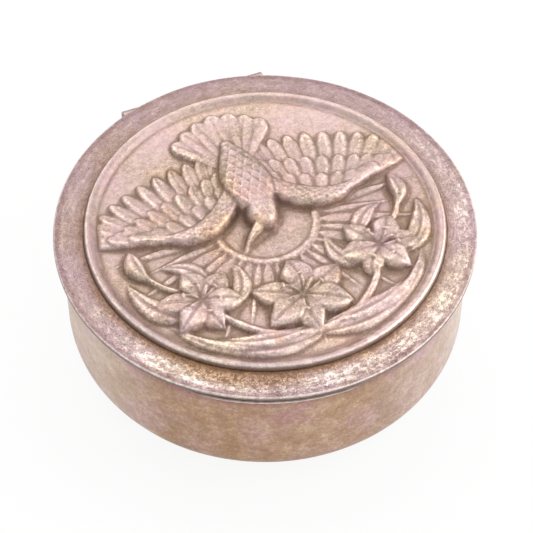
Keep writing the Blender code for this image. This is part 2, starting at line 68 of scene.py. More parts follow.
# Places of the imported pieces
CUP_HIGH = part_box("body_cup")[1]
BAND_LOW, BAND_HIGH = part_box("bezel_band")
FRAME_LOW, FRAME_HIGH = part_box("lid_frame")
PLATE_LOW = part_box("lid_medallion")[0]
LIP_LOW, LIP_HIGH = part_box("thumb_lip")
PIN_LOW, PIN_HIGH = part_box("hinge_pin")
KNUCKLE_LOW, KNUCKLE_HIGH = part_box("body_knuckle_1")
HINGE = Vector(frame["joints"][0]["pos_m"])
HINGE_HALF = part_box("body_knuckle_3")[1][0]
BODY_KNUCKLES = ("body_knuckle_1", "body_knuckle_2", "body_knuckle_3")
LID_KNUCKLES = ("lid_knuckle_1", "lid_knuckle_2")

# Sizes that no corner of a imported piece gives
RIM_WIDTH = 3.0 * MM
SEAT_LEDGE = 1.2 * MM
SEAT_PLAY = 0.03 * MM
FRAME_SHEET = 0.4 * MM
SKIRT_PROUD = 0.05 * MM
SKIRT_WALL = 0.65 * MM
BAND_WALL = 0.4 * MM
NOTCH_DEPTH = 1.4 * MM
NOTCH_MARGIN = 0.45 * MM
GROOVE_GAP = 0.06 * MM
GROOVE_END_GAP = 0.08 * MM
KNUCKLE_EASE = 0.09 * MM
BORE_EASE = 0.04 * MM
PIN_DOME = 0.15 * MM
LIP_WIDTH = 0.55 * MM
LIP_SPAN = 47.0
LIP_BEARING = -109.5

CUP_RADIUS = CUP_HIGH[0]
CUP_HEIGHT = CUP_HIGH[2]
FLANGE_RADIUS = FRAME_HIGH[0]
PLATE_RADIUS = FLANGE_RADIUS - RIM_WIDTH
KNUCKLE_RADIUS = (KNUCKLE_HIGH[2] - KNUCKLE_LOW[2]) / 2

# Places on the box in millimetres, as the finishes read them
EDGE = FLANGE_RADIUS / MM
RIM = PLATE_RADIUS / MM
WALL = CUP_RADIUS / MM
MOUTH = CUP_HEIGHT / MM
SKIRT_FOOT = FRAME_LOW[2] / MM
PLATE_FOOT = PLATE_LOW[2] / MM
LIP_FOOT = LIP_LOW[2] / MM

# Steps of the surfaces
ROUND_STEPS = 720
TUBE_STEPS = 64
FIELD_CELLS = 280
BACK_CELLS = FIELD_CELLS // 4

# Side of the box that a hand meets first, from which the picture is taken too: wear and
# dirt are placed from it
# Painted highlights, reflections, light and shade are placed from this side as well
FRONT_BEARING = -112.0

# Camera of the picture
VIEW_ELEVATION = 49.57
VIEW_DISTANCE = 205.3 * MM
VIEW_HEIGHT = FRAME_LOW[2] + 1.1 * MM
IMAGE_SIZE = 533
FOCAL_PIXELS = 2070.0
LID_CENTRE_PIXEL = (265.1, 226.1)
SENSOR_WIDTH = 36.0

# Light that the pale surroundings give, against what the camera sees of them, and half
# the side of the ground
TENT_LEVEL = 0.72
GROUND_HALF = 1.5

# Radius in millimetres at which grain that runs round the box has the scale it is given
GRAIN_RADIUS = 20

# Relief, in layout units, of which PICTURE_UNITS reach from the field's centre to its edge;
# an end is the (a, b) of a lobe's outline, and turns are degrees
PICTURE_UNITS = 16.7
ROUND_END = (2.0, 0.5)
POINTED_END = (1.6, 1.0)
RIB_HALF = 0.16
BARB_PITCH = 0.42
BARB_SLANT = 0.9
SCALE_DEPTH = 0.26
NIMBUS_CENTRE = (0, 0.3)
NIMBUS_RADIUS = 5.15
NIMBUS_HALF = 0.5
RAY_COUNT = 21
RAY_TURN = 9


def srgb(red, green, blue):
    """Linear colour of an 8-bit display colour."""
    values = np.array([red, green, blue]) / 255
    linear = np.where(values <= 0.04045, values / 12.92, ((values + 0.055) / 1.055) ** 2.4)
    return tuple(float(value) for value in linear)


def size_field(name, millimetres, description):
    """Size that a user can change."""
    return bpy.props.FloatProperty(
        name=name, description=description, default=millimetres * MM, unit="LENGTH")


def colour_field(name, colour, description):
    """Tone that a user can change, its default given as a display colour."""
    return bpy.props.FloatVectorProperty(
        name=name, description=description, default=srgb(*colour), subtype="COLOR")


class PillBoxSizes(bpy.types.PropertyGroup):
    """Sizes of the sheets and edges."""

    wall: size_field("Wall", 0.7, "Thickness of the cup's sheet")
    corner: size_field("Corner", 4.1, "Radius of the cup's lower corner")
    ease: size_field("Ease", 0.09, "Rounding of worn edges")
    skirt: size_field("Skirt", 0.65, "Height of the lid's skirt")
    flange: size_field("Flange", 0.45, "Thickness of the lid's flange")
    crown: size_field("Crown", 0.15, "Rise of the flange from its edge")
    recess: size_field("Recess", 0.35, "Depth of the medallion's seat")
    sheet: size_field("Sheet", 0.35, "Thickness of the medallion")
    border: size_field("Border", 1.3, "Width of the medallion's border")
    border_rise: size_field("Border rise", 0.45, "Height of the border over the field")
    bore: size_field("Bore", 0.5, "Radius of the knuckles' bore")
    relief: bpy.props.FloatProperty(
        name="Relief", description="Depth of the relief against its layout", default=0.72, min=0.0)


class PillBoxColours(bpy.types.PropertyGroup):
    """Tones of the silver and of its tarnish."""

    golden: colour_field("Golden", (250, 243, 223), "Tint of the cup's golden tarnish")
    rose: colour_field("Rose", (242, 224, 242), "Tint of the cup's rose tarnish")
    mauve: colour_field("Mauve", (246, 238, 250), "Tint of the lid's mauve patina")
    olive: colour_field("Olive", (248, 247, 226), "Tint of the lid's yellow-green patina")
    # Bright is also the colour of the painted highlights on the flange's corner and along the lip's lower
    # edge
    bright: colour_field("Bright", (243, 232, 224), "Silver rubbed clean")
    dirt: colour_field("Dirt", (132, 98, 64), "Brown dirt in corners and hollows")
    inside: colour_field("Inside", (214, 204, 190), "Silver that no hand reaches")


def ring_faces(rows, columns, first=0, around=True):
    """Quads of a grid of points stored row by row, its columns joined end to end if around."""
    index = first + np.arange(rows * columns).reshape(rows, columns)
    following = np.roll(index, -1, axis=1) if around else index[:, 1:]
    here = index if around else index[:, :-1]
    return np.stack([here[:-1], following[:-1], following[1:], here[1:]], axis=-1).reshape(-1, 4)


def solid(name, points, faces, attributes=None, sharp=50):
    """Closed mesh from arrays of points and of faces, its doubles merged and its faces outward.

    Edges that turn by more than sharp degrees stay crisp.
    """
    mesh = bpy.data.meshes.new(name)
    mesh.from_pydata(points.tolist(), [], [face for group in faces for face in group.tolist()])
    for label, values in (attributes or {}).items():
        layer = mesh.attributes.new(label, "FLOAT", "POINT")
        layer.data.foreach_set("value", np.asarray(values, dtype=np.float32).ravel())
    bm = bmesh.new()
    bm.from_mesh(mesh)
    bmesh.ops.remove_doubles(bm, verts=bm.verts, dist=0.0005 * MM)
    bmesh.ops.recalc_face_normals(bm, faces=bm.faces)
    bm.to_mesh(mesh)
    bm.free()
    mesh.shade_smooth()
    mesh.set_sharp_from_angle(angle=math.radians(sharp))
    return mesh


def revolved(name, points, layers=None, joined=True):
    """Closed mesh from rows of points that each run round an axis.

    The last row is joined to the first, unless both have shrunk to a point.
    """
    if joined:
        points = np.concatenate([points, points[:1]])
    return solid(name, points.reshape(-1, 3), [ring_faces(*points.shape[:2])], layers)


def linked(name, data):
    """New object in the scene."""
    thing = bpy.data.objects.new(name, data)
    bpy.context.scene.collection.objects.link(thing)
    return thing


def piece(name, mesh, material, body, slot, *nodes):
    """Link a finished mesh as a piece that rides on a body and stands for nodes."""
    thing = linked(name, mesh)
    mesh.materials.append(material)
    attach(thing, body)
    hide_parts(*nodes)


def arc(centre, radius, start, end, steps):
    """Points centre + radius * (cos a, sin a), with a from start to end in degrees."""
    a = np.radians(np.linspace(start, end, steps))
    return np.stack([centre[0] + radius * np.cos(a), centre[1] + radius * np.sin(a)], axis=1)


def eased(corners, steps=4, closed=True):
    """Section whose corners (r, z, cut) are rounded.

    Each corner is the quadratic curve from the point at distance cut before it to the
    point at distance cut after it, with the corner itself as the middle control point.
    """
    corners = np.array(corners, float)
    place, cut = corners[:, :2], corners[:, 2:3]
    before, after = np.roll(place, 1, axis=0) - place, np.roll(place, -1, axis=0) - place
    start = place + before / np.linalg.norm(before, axis=1, keepdims=True) * cut
    end = place + after / np.linalg.norm(after, axis=1, keepdims=True) * cut
    s = np.linspace(0, 1, steps)[None, :, None]
    curve = (1 - s) ** 2 * start[:, None] + 2 * s * (1 - s) * place[:, None] + s ** 2 * end[:, None]
    if not closed:
        curve[0] = place[0]
        curve[-1] = place[-1]
    return curve.reshape(-1, 2)


def filled(section, spacing, closed=True):
    """The section with points added so that none lie further apart than spacing."""
    ends = np.roll(section, -1, axis=0) if closed else section[1:]
    starts = section if closed else section[:-1]
    parts = []
    for start, end in zip(starts, ends):
        count = max(1, math.ceil(np.linalg.norm(end - start) / spacing))
        share = np.arange(count)[:, None] / count
        parts.append(start + (end - start) * share)
    if not closed:
        parts.append(section[-1:])
    return np.concatenate(parts)


def turned(section, steps=ROUND_STEPS):
    """Points (r cos b, r sin b, z) for each section point (r, z) and each bearing b."""
    bearing = np.linspace(0, 2 * np.pi, steps, endpoint=False)
    r, z = section[:, :1], section[:, 1:]
    return np.stack([r * np.cos(bearing), r * np.sin(bearing), z + 0 * bearing], axis=-1)


def hinge_room(points):
    """Height of the hinge groove over or under its axis, and where it runs.

    The groove is a round channel of radius g about the axis: half its height at distance
    d behind or before the axis is sqrt(g^2 - d^2), along the length of the knuckles.
    """
    g = KNUCKLE_RADIUS + GROOVE_GAP
    d = points[..., 1] - HINGE[1]
    runs = (np.abs(points[..., 0]) < HINGE_HALF + GROOVE_END_GAP) & (np.abs(d) < g)
    return np.sqrt(np.clip(g * g - d * d, 0, None)), runs


def polar(points):
    """Bearing of each point in radians, and its distance from the box's upright axis."""
    return np.arctan2(points[..., 1], points[..., 0]), np.hypot(points[..., 0], points[..., 1])


def handled(points, depth):
    """Push points sideways by the slow waves that years of handling leave in thin sheet.

    The push at bearing b and height z is depth * (cos(2b + 0.7) + 0.6 cos(5b - 1.1) *
    sin(260 z) + 0.35 cos(11b + 400 z)), outwards.
    """
    b, radius = polar(points)
    z = points[..., 2]
    push = np.cos(2 * b + 0.7) + 0.6 * np.cos(5 * b - 1.1) * np.sin(260 * z) + 0.35 * np.cos(11 * b + 400 * z)
    points[..., :2] *= (1 + depth * push / np.maximum(radius, 1 * MM))[..., None]
    return points


def at(start, degrees, distance):
    """Point at a bearing and distance from another point."""
    angle = math.radians(degrees)
    return (start[0] + distance * math.cos(angle), start[1] + distance * math.sin(angle))


def mirrored(points, side):
    """Points with x multiplied by side, which is 1 or -1."""
    return [(x * side, y) for x, y in points]


class Relief:
    """Height field of the medallion in layout units, built up from overlapping lobes.

    Its ground is 0.10 (1 - (r / PICTURE_UNITS)^2) high at distance r from the centre, and
    waves by 0.02 sin(0.55 x + 0.3) cos(0.47 y - 0.8).
    """

    def __init__(self, x, y):
        self.x = x
        self.y = y
        dome = 0.10 * (1 - (np.hypot(x, y) / PICTURE_UNITS) ** 2)
        self.z = dome + 0.02 * np.sin(0.55 * x + 0.3) * np.cos(0.47 * y - 0.8)

    def lobe(self, path, width, lift, crown=0.3, full=0.5, root=0.35, end=ROUND_END, rib=0.0,
             tilt=0.0, edge=0.3, steep=3.2, barbs=0.0, scales=0.0, melt=0.0, steps=26):
        """Raise a leaf along the quadratic curve path, wherever it stands above the rest.

        With s the share of the way along the curve, d the distance from it and t that
        distance over the half-width w(s), the height is
            lift(s) + crown * sqrt(1 - t^2) - rib * exp(-(d / RIB_HALF)^2) + tilt * t
        where the last term is taken off, not added, on the curve's right. lift(s) is the
        parabola through the three lifts at s = 0, 0.5 and 1. w(s) rises from the share root
        of width by a quarter sine until s = full, then closes as (1 - q^a)^b, where (a, b)
        is the end. Within edge of its outline the leaf rounds off, and beyond it falls by
        steep. Barbs are slanting flutes, and scales are rows of rounded feathers of that
        width. Where it and the rest differ by less than melt, they blend.
        """
        share = np.linspace(0, 1, steps)[:, None]
        first, bend, last = (np.array(point, float) for point in path)
        line = (1 - share) ** 2 * first + 2 * share * (1 - share) * bend + share ** 2 * last
        reach = width + 0.5
        low, high = line.min(axis=0) - reach, line.max(axis=0) + reach
        near = (self.x > low[0]) & (self.x < high[0]) & (self.y > low[1]) & (self.y < high[1])
        if not near.any():
            return
        point = np.stack([self.x[near], self.y[near]], axis=-1)
        step = line[1:] - line[:-1]
        offset = point[:, None, :] - line[None, :-1]
        along = np.clip((offset * step).sum(-1) / (step * step).sum(-1), 0, 1)
        squared = ((offset - along[..., None] * step) ** 2).sum(-1)
        nearest = squared.argmin(axis=1)
        row = np.arange(len(point))
        d = np.sqrt(squared[row, nearest])
        s = (nearest + along[row, nearest]) / (steps - 1)
        cross = step[nearest, 0] * offset[row, nearest, 1] - step[nearest, 1] * offset[row, nearest, 0]
        side = np.sign(cross)
        length = np.linalg.norm(step, axis=1).sum()
        opening = root + (1 - root) * np.sin(np.pi / 2 * np.clip(s / full, 0, 1))
        past = np.clip((s - full) / (1 - full), 0, 1)
        half = width * np.where(s < full, opening, (1 - past ** end[0]) ** end[1])
        t = np.clip(d / np.maximum(half, 1e-6), 0, 1)
        base = lift[0] * (2 * s - 1) * (s - 1) + lift[1] * 4 * s * (1 - s) + lift[2] * s * (2 * s - 1)
        z = base + crown * np.sqrt(1 - t ** 2) - rib * np.exp(-(d / RIB_HALF) ** 2) + tilt * t * side
        z += barbs * np.sin(2 * np.pi * (s * length - BARB_SLANT * d) / BARB_PITCH)
        if scales:
            z += self.feathering((1 - s) * length / scales, d * side / scales) * SCALE_DEPTH * scales
        inside = half - d
        shoulder = 0.45 * (0.7 * max(lift) + 0.3 * crown)
        z -= shoulder * np.clip(1 - inside / edge, 0, 1) ** 2 + steep * np.clip(-inside, 0, None)
        old = self.z[near]
        if melt:
            blend = np.clip(0.5 + 0.5 * (z - old) / melt, 0, 1)
            z = old + (z - old) * blend + melt * blend * (1 - blend)
        self.z[near] = np.maximum(old, z)

    @staticmethod
    def feathering(v, u):
        """Rounded feathers in rows: highest at each tip, which is at row + 0.95 sqrt(1 - 4u^2)."""
        row = np.floor(v)
        tips = []
        for ahead in (0, 1):
            shift = 0.5 * ((row + ahead) % 2)
            across = 2 * (u - shift - np.round(u - shift))
            tips.append(row + ahead + 0.95 * np.sqrt(1 - across ** 2))
        tip = np.where(v < tips[0], tips[0], tips[1])
        return 1 - 0.62 * (tip - v)

    def glory(self):
        """Nimbus behind the head, with straight rays on its lower side, out to the border."""
        for ray in range(RAY_COUNT):
            width, reach = (0.42, 13.2) if ray % 2 else (0.62, 16.2)
            path = [at(NIMBUS_CENTRE, 180 + RAY_TURN * ray, distance) for distance in (5.6, 8.5, reach)]
            self.lobe(path, width, (0.14, 0.22, 0.08), crown=0.14, full=0.3, root=0.4,
                      end=POINTED_END, edge=0.15)
        radius = np.hypot(self.x - NIMBUS_CENTRE[0], self.y - NIMBUS_CENTRE[1])
        self.z = np.maximum(self.z, np.where(radius < 5.0, 0.16, -1))
        off_ring = np.abs(radius - NIMBUS_RADIUS)
        ring = 0.45 * np.sqrt(np.clip(1 - (off_ring / NIMBUS_HALF) ** 2, 0, 1))
        self.z = np.maximum(self.z, ring - 3 * np.clip(off_ring - NIMBUS_HALF, 0, None))

    def leaf(self, path, width, lift, side):
        """Long pointed leaf with a sunk midrib."""
        self.lobe(path, width, (0.6 * lift, lift + 0.15, 0.25 * lift), crown=0.28, full=0.42,
                  root=0.25, end=POINTED_END, rib=0.22, tilt=0.13 * side, edge=0.26)

    def stem(self, path, width):
        """Rounded stalk."""
        self.lobe(path, width, (0.4, 0.6, 0.6), crown=0.8 * width, root=1, edge=0.2)

    def lily(self, centre, size, turn, lift, squash=0.93):
        """Six-petalled flower with six stamens and a pistil, seen a little from below."""
        def laid(point):
            return (point[0], centre[1] + (point[1] - centre[1]) * squash)

        for layer, (start, reach, breadth) in enumerate([(30, 1.0, 0.27), (90, 0.96, 0.30)]):
            up = lift + 0.28 * layer
            for petal in range(3):
                bearing = turn + start + 120 * petal
                bow = 13 if petal % 2 else -13
                length = size * reach * (1 + 0.06 * math.sin(3.1 * petal + turn))
                path = [centre, laid(at(centre, bearing + bow, 0.55 * length)),
                        laid(at(centre, bearing, length))]
                self.lobe(path, size * breadth, (0.35 * up, up + 0.22, 0.30 * up), crown=0.22, full=0.52,
                          root=0.30, end=POINTED_END, rib=0.17, tilt=0.06, edge=0.22)
        for stamen in range(6):
            bearing = turn + 60 * stamen
            tip = at(centre, bearing + 17, 0.40 * size)
            self.lobe([centre, at(centre, bearing + 5, 0.24 * size), tip], 0.11,
                      (0.6 * lift, lift + 0.50, lift + 0.55), crown=0.14, root=1, edge=0.1)
            self.lobe([at(tip, bearing + 107, 0.32), tip, at(tip, bearing - 73, 0.32)], 0.19,
                      (lift + 0.6, lift + 0.72, lift + 0.6), crown=0.18, root=0.6, edge=0.12)
        pistil = [centre, at(centre, turn + 40, 0.2 * size), at(centre, turn + 40, 0.36 * size)]
        self.lobe(pistil, 0.22, (0.7 * lift, lift + 0.65, lift + 0.85), crown=0.22, root=0.8, edge=0.12)

    def bud(self, foot, bend, tip):
        """Closed flower with one petal folded over the rest."""
        self.lobe([foot, bend, tip], 0.92, (0.4, 0.75, 0.3), crown=0.6, full=0.45, root=0.5,
                  end=POINTED_END)
        middle = ((foot[0] + tip[0]) / 2, (foot[1] + tip[1]) / 2)
        self.lobe([foot, middle, tip], 0.34, (0.9, 1.45, 0.6), crown=0.2, full=0.45, root=0.5,
                  end=POINTED_END, edge=0.15)

    def spray(self):
        """Lilies, buds and leaves that rise on both sides from one stalk."""
        leaves = [([(0.2, -14.7), (9.6, -16.6), (13.3, -8.2)], 1.25, 0.40, 1),
                  ([(0.8, -13.6), (6.6, -14.6), (9.8, -11.4)], 1.0, 0.62, -1),
                  ([(11.4, -8.6), (15.0, -6.6), (15.3, -2.0)], 1.15, 0.45, 1),
                  ([(7.8, -5.2), (8.6, -2.4), (11.8, -1.6)], 1.0, 0.50, -1),
                  ([(6.6, -8.4), (4.2, -6.8), (5.0, -3.2)], 1.0, 0.45, 1)]
        for side in (-1, 1):
            for path, width, lift, turn in leaves:
                self.leaf(mirrored(path, side), width, lift, turn * side)
            self.stem(mirrored([(0.1, -14.3), (6.0, -14.2), (9.2, -7.4)], side), 0.42)
            self.stem(mirrored([(10.0, -5.6), (13.0, -4.2), (13.9, -0.6)], side), 0.30)
            self.bud(*mirrored([(13.3, -2.4), (14.6, -0.7), (13.8, 1.5)], side))
        self.lily((-9.3, -6.9), 4.6, 12, 0.75)
        self.lily((9.3, -6.9), 4.6, -32, 0.75)
        self.lily((0, -9.9), 5.4, 0, 0.95, squash=0.9)

    def wing(self, side):
        """Spread wing: three rows of feathers fanned from a curved leading edge.

        At a share u of the way out, a feather of the long row has the bearing 95 - 82 u^1.2
        and the length 5.6 + 3.9 sin(pi * min(0.86 u, 1))^0.8.
        """
        start, bend, tip = mirrored([(1.4, 4.9), (6.0, -1.7), (10.9, 2.0)], side)
        rows = [(13, 1.0, 0.86, 0.34, 0.08), (11, 0.62, 0.84, 0.70, 0.08), (9, 0.34, 0.78, 0.98, 0.0)]
        for count, scale, breadth, lift, rib in rows:
            for feather in range(count):
                u = 0.03 + 0.97 * feather / (count - 1)
                root = [(1 - u) ** 2 * start[i] + 2 * u * (1 - u) * bend[i] + u * u * tip[i] for i in (0, 1)]
                bearing = 95 - 82 * u ** 1.2
                length = (5.6 + 3.9 * math.sin(math.pi * min(0.86 * u, 1)) ** 0.8) * scale
                middle = at((0, 0), bearing, 0.55 * length)
                outer = at(middle, bearing + 18, 0.45 * length)
                path = [root, (root[0] + side * middle[0], root[1] + middle[1]),
                        (root[0] + side * outer[0], root[1] + outer[1])]
                up = lift - 0.012 * feather
                self.lobe(path, breadth, (up + 0.15, up + 0.12, up), crown=0.24, full=0.72, root=0.7,
                          rib=rib, tilt=-0.13 * side, edge=0.2, barbs=rib / 4, steep=3)
        self.lobe([start, bend, tip], 1.2, (1.0, 1.2, 0.6), crown=0.6, full=0.35, root=0.9,
                  end=(2, 0.8), edge=0.4, scales=0.62)

    def dove(self):
        """Descending dove: fanned tail, wings, breast, head and bill."""
        rump = (0, 6.4)
        for order, lean in enumerate([-36, 36, -24, 24, -12, 12, 0]):
            up = 0.5 + 0.05 * order
            path = [(0.004 * lean, rump[1]), at(rump, 90 - 0.8 * lean, 5),
                    at(rump, 90 - lean, 9.1 - abs(lean) / 60)]
            self.lobe(path, 1.12, (up, up + 0.05, up - 0.05), crown=0.24, full=0.8, root=0.35,
                      rib=0.09, tilt=-0.1 * np.sign(lean), edge=0.2, barbs=0.02)
        for side in (-1, 1):
            self.wing(side)
        self.lobe([(0, 10.6), (0.15, 5.8), (0, 1.0)], 2.6, (0.55, 1.45, 1.35), crown=0.9, full=0.62,
                  root=0.34, end=(2, 0.55), edge=0.6, scales=0.95)
        self.lobe([(0.35, 3.4), (0.35, 0.8), (-0.75, -0.9)], 1.55, (1.55, 1.65, 1.2), crown=0.85,
                  full=0.55, root=1, end=(2.4, 0.5), edge=0.5, scales=0.5, melt=0.3)
        self.lobe([(-0.5, -0.4), (-2.0, -1.2), (-3.3, -2.9)], 0.55, (1.7, 1.35, 0.8), crown=0.4,
                  full=0.15, root=1, end=(1.3, 0.9), edge=0.2)
        from_eye = np.hypot(self.x + 0.95, self.y - 0.05)
        self.z += 0.12 * np.exp(-((from_eye - 0.36) / 0.10) ** 2) - 0.10 * np.exp(-(from_eye / 0.16) ** 2)


def field_height(x, y, radius, depth):
    """Height of the relief, scaled by depth and faded out where it meets the border.

    It fades by f^2 (3 - 2 f), f being (1.015 - r / radius) / 0.048 held between 0 and 1.
    """
    unit = radius / PICTURE_UNITS
    relief = Relief(x / unit, y / unit)
    relief.glory()
    relief.spray()
    relief.dove()
    fade = np.clip((1.015 - np.hypot(x, y) / radius) / 0.048, 0, 1)
    return np.maximum(relief.z, 0) * fade * fade * (3 - 2 * fade) * depth * unit


def disc_grid(cells):
    """Square grid mapped evenly onto the unit disc, with the indices round its edge.

    A point (a, b) of the square goes to radius a at bearing 45 b / a degrees where a is
    the larger without its sign, and otherwise to radius b at bearing 90 - 45 a / b.
    """
    line = np.linspace(-1, 1, cells + 1)
    a, b = np.meshgrid(line, line)
    wide = np.abs(a) > np.abs(b)
    radius = np.where(wide, a, b)
    safe = np.where(radius == 0, 1, radius)
    angle = np.where(wide, np.pi / 4 * b / safe, np.pi / 2 - np.pi / 4 * a / safe)
    index = np.arange((cells + 1) ** 2).reshape(cells + 1, cells + 1)
    edge = np.concatenate([index[0, :-1], index[:-1, -1], index[-1, :0:-1], index[:0:-1, 0]])
    quads = ring_faces(cells + 1, cells + 1, around=False)
    return radius * np.cos(angle), radius * np.sin(angle), edge, quads


def spread_out(x, y, radius, z):
    """Points over a disc of that radius, from the grids of a unit disc and their heights."""
    return np.stack([x * radius, y * radius, z], axis=-1).reshape(-1, 3)


def neighbours(grid, reach, axis):
    """The grid and its copies moved by up to reach cells along an axis, stacked."""
    padded = np.pad(grid, [(reach, reach) if i == axis else (0, 0) for i in (0, 1)], mode="edge")
    size = grid.shape[axis]
    return np.stack([np.take(padded, range(k, k + size), axis=axis) for k in range(2 * reach + 1)])


def softened(grid, spread):
    """Gaussian blur of a square grid, spread being its standard deviation in cells."""
    reach = math.ceil(3 * spread)
    weight = np.exp(-0.5 * (np.arange(-reach, reach + 1) / spread) ** 2)
    weight /= weight.sum()
    for axis in (0, 1):
        grid = np.tensordot(weight, neighbours(grid, reach, axis), 1)
    return grid


def lowered(grid, reach):
    """Each point at the height of the lowest one within reach cells."""
    for axis in (0, 1):
        grid = neighbours(grid, reach, axis).min(axis=0)
    return grid


def strip(outer, inner):
    """Quads between two loops of equal length."""
    return np.stack([outer, np.roll(outer, -1), np.roll(inner, -1), inner], axis=1)


def halving_strip(outer, inner):
    """Triangles between a loop and one with half as many points."""
    a, b, c = outer[0::2], outer[1::2], np.roll(outer, -2)[0::2]
    here, following = inner, np.roll(inner, -1)
    return [np.stack(three, axis=1) for three in ((a, b, here), (b, following, here), (b, c, following))]


class Patchwork:
    """Points gathered loop by loop, with the dirt and the rubbing at each and the faces between."""

    def __init__(self):
        self.points, self.dirt, self.rub, self.faces = [], [], [], []
        self.used = 0

    def add(self, points, dirt=0.0, rub=0.0):
        """Add points and return their numbers."""
        numbers = self.used + np.arange(len(points))
        self.points.append(points)
        self.dirt.append(np.full(len(points), dirt))
        self.rub.append(np.full(len(points), rub))
        self.used += len(points)
        return numbers


def share_of(height, full):
    """How much of a full depth each height has, from 0 to 1."""
    return np.clip(height / (full * MM), 0, 1)


def medallion_mesh(sizes):
    """Closed sheet: relief field, rounded border, rim wall and softened hollow back.

    The border at a share s of its width is border_rise * (1 - |2 s^1.7 - 1|^2.6), so that
    its crest lies outside its middle. The back has three quarters of the relief, smoothed
    as pressing smooths it. Dirt lies where the face is lower than its own average nearby,
    and silver is rubbed where it is higher.
    """
    field = PLATE_RADIUS - sizes.border
    top = PLATE_LOW[2] + sizes.sheet
    x, y, edge, quads = disc_grid(FIELD_CELLS)
    height = field_height((x * field).ravel(), (y * field).ravel(), field, sizes.relief)
    height = softened(height.reshape(x.shape), 0.65)
    height -= 0.25 * np.clip(height - softened(height, 2.5), 0, None)
    height.ravel()[edge] = 0
    fine, near, wide = (height - softened(height, spread) for spread in (1.6, 3.0, 9.0))
    corner = share_of(0.5 * MM - field + np.hypot(x, y) * field, 0.5)
    dirt = (0.4 * share_of(-fine, 0.03) + 0.7 * share_of(-near, 0.15) + 0.5 * share_of(-wide, 0.5)
            + 0.8 * corner)
    rub = 0.7 * share_of(fine, 0.022) + 0.3 * share_of(near, 0.10) + 0.4 * share_of(wide, 0.5)
    sheet = Patchwork()
    sheet.add(spread_out(x, y, field, top + height), dirt.ravel(), rub.ravel())
    sheet.faces.append(quads)
    rim = np.stack([x.ravel()[edge], y.ravel()[edge]], axis=1)

    def ring(radius, z, every=1):
        return np.insert(rim[::every] * radius, 2, z, axis=1)

    loop = edge
    for share in (0.08, 0.18, 0.3, 0.44, 0.58, 0.7, 0.8, 0.88, 0.94, 0.98, 1.0):
        z = top + sizes.border_rise * (1 - abs(2 * share ** 1.7 - 1) ** 2.6)
        dirt = 0.5 * max(0, 1 - share / 0.16) + 1.5 * max(0, (share - 0.88) / 0.12)
        rub = 2.0 * max(0, 1 - abs(share - 0.82) / 0.1)
        following = sheet.add(ring(field + sizes.border * share, z), dirt, rub)
        sheet.faces.append(strip(loop, following))
        loop = following
    following = sheet.add(ring(PLATE_RADIUS, PLATE_LOW[2]), dirt=1.5)
    sheet.faces.append(strip(loop, following))
    loop, outer_points = following, sheet.used
    for every, share in ((2, 0.985), (4, 0.97)):
        following = sheet.add(ring(PLATE_RADIUS * share, PLATE_LOW[2], every))
        sheet.faces += halving_strip(loop, following)
        loop = following
    x, y, edge, quads = disc_grid(BACK_CELLS)
    hollow = field - sizes.border / 2
    pressed = field_height((x * hollow).ravel(), (y * hollow).ravel(), field, sizes.relief)
    pressed = 0.75 * softened(lowered(pressed.reshape(x.shape), 2), 1.2)
    pressed.ravel()[edge] = 0
    back = sheet.add(spread_out(x, y, hollow, PLATE_LOW[2] + pressed))
    sheet.faces += [strip(loop, back[edge]), back[quads[:, ::-1]]]
    layers = {"dirt": np.concatenate(sheet.dirt), "rub": np.concatenate(sheet.rub),
              "inside": np.arange(sheet.used) >= outer_points}
    return solid("medallion", np.concatenate(sheet.points), sheet.faces, layers, sharp=85)


def cup_mesh(sizes):
    """Turned sheet cup: the outer corner is an arc, the inner one the same arc less the wall.

    With the arcs' centre at radius c, its depth under the outer face is corner -
    hypot(max(r - c, 0), max(corner - z, 0)), and points more than half the wall deep
    belong to the inside.
    """
    inner = CUP_RADIUS - sizes.wall
    bend = (CUP_RADIUS - sizes.corner, sizes.corner)
    outside = arc(bend, sizes.corner, -90, 0, 16)
    inside = arc(bend, sizes.corner - sizes.wall, 0, -90, 14)
    below_rim = CUP_HEIGHT - 0.5 * MM
    rim = eased([(CUP_RADIUS, below_rim, 0), (CUP_RADIUS, CUP_HEIGHT, sizes.ease),
                 (inner, CUP_HEIGHT, sizes.ease), (inner, below_rim, 0)], closed=False)
    wall = filled(np.concatenate([outside, rim[3:-3], inside]), 0.6 * MM, closed=False)
    base = np.linspace(0, wall[0, 0], 10)[:-1]
    floor = np.linspace(wall[-1, 0], 0, 10)[1:]
    section = np.concatenate([np.stack([base, 0 * base], axis=1), wall,
                              np.stack([floor, 0 * floor + sizes.wall], axis=1)])
    r, z = section.T
    depth = sizes.corner - np.hypot(np.maximum(r - bend[0], 0), np.maximum(bend[1] - z, 0))
    layers = {"rub": z > CUP_HEIGHT - 0.02 * MM, "inside": depth > sizes.wall / 2}
    points = handled(turned(section), 0.02 * MM)
    groove, runs = hinge_room(points)
    foot = CUP_HEIGHT - 2.0 * MM
    points[..., 2] -= np.where(runs, groove, 0) * np.clip((points[..., 2] - foot) / (CUP_HEIGHT - foot), 0, 1)
    layers = {label: np.repeat(rows, ROUND_STEPS) for label, rows in layers.items()}
    return revolved("cup", points, layers, joined=False)


def band_mesh(sizes):
    """Upright ring with an eased top, lower where it passes the hinge."""
    outer, foot, top = BAND_HIGH[0], BAND_LOW[2], BAND_HIGH[2]
    inner = outer - BAND_WALL
    points = turned(filled(eased([(inner, foot, 0.03 * MM), (outer, foot, 0.03 * MM),
                                  (outer, top, sizes.ease), (inner, top, sizes.ease)]), 0.5 * MM))
    runs = (np.abs(points[..., 0]) < HINGE_HALF + NOTCH_MARGIN) & (points[..., 1] > 0)
    share = (points[..., 2] - foot) / (top - foot)
    points[..., 2] = np.where(runs, foot + share * (top - NOTCH_DEPTH - foot), points[..., 2])
    return revolved("band", points)


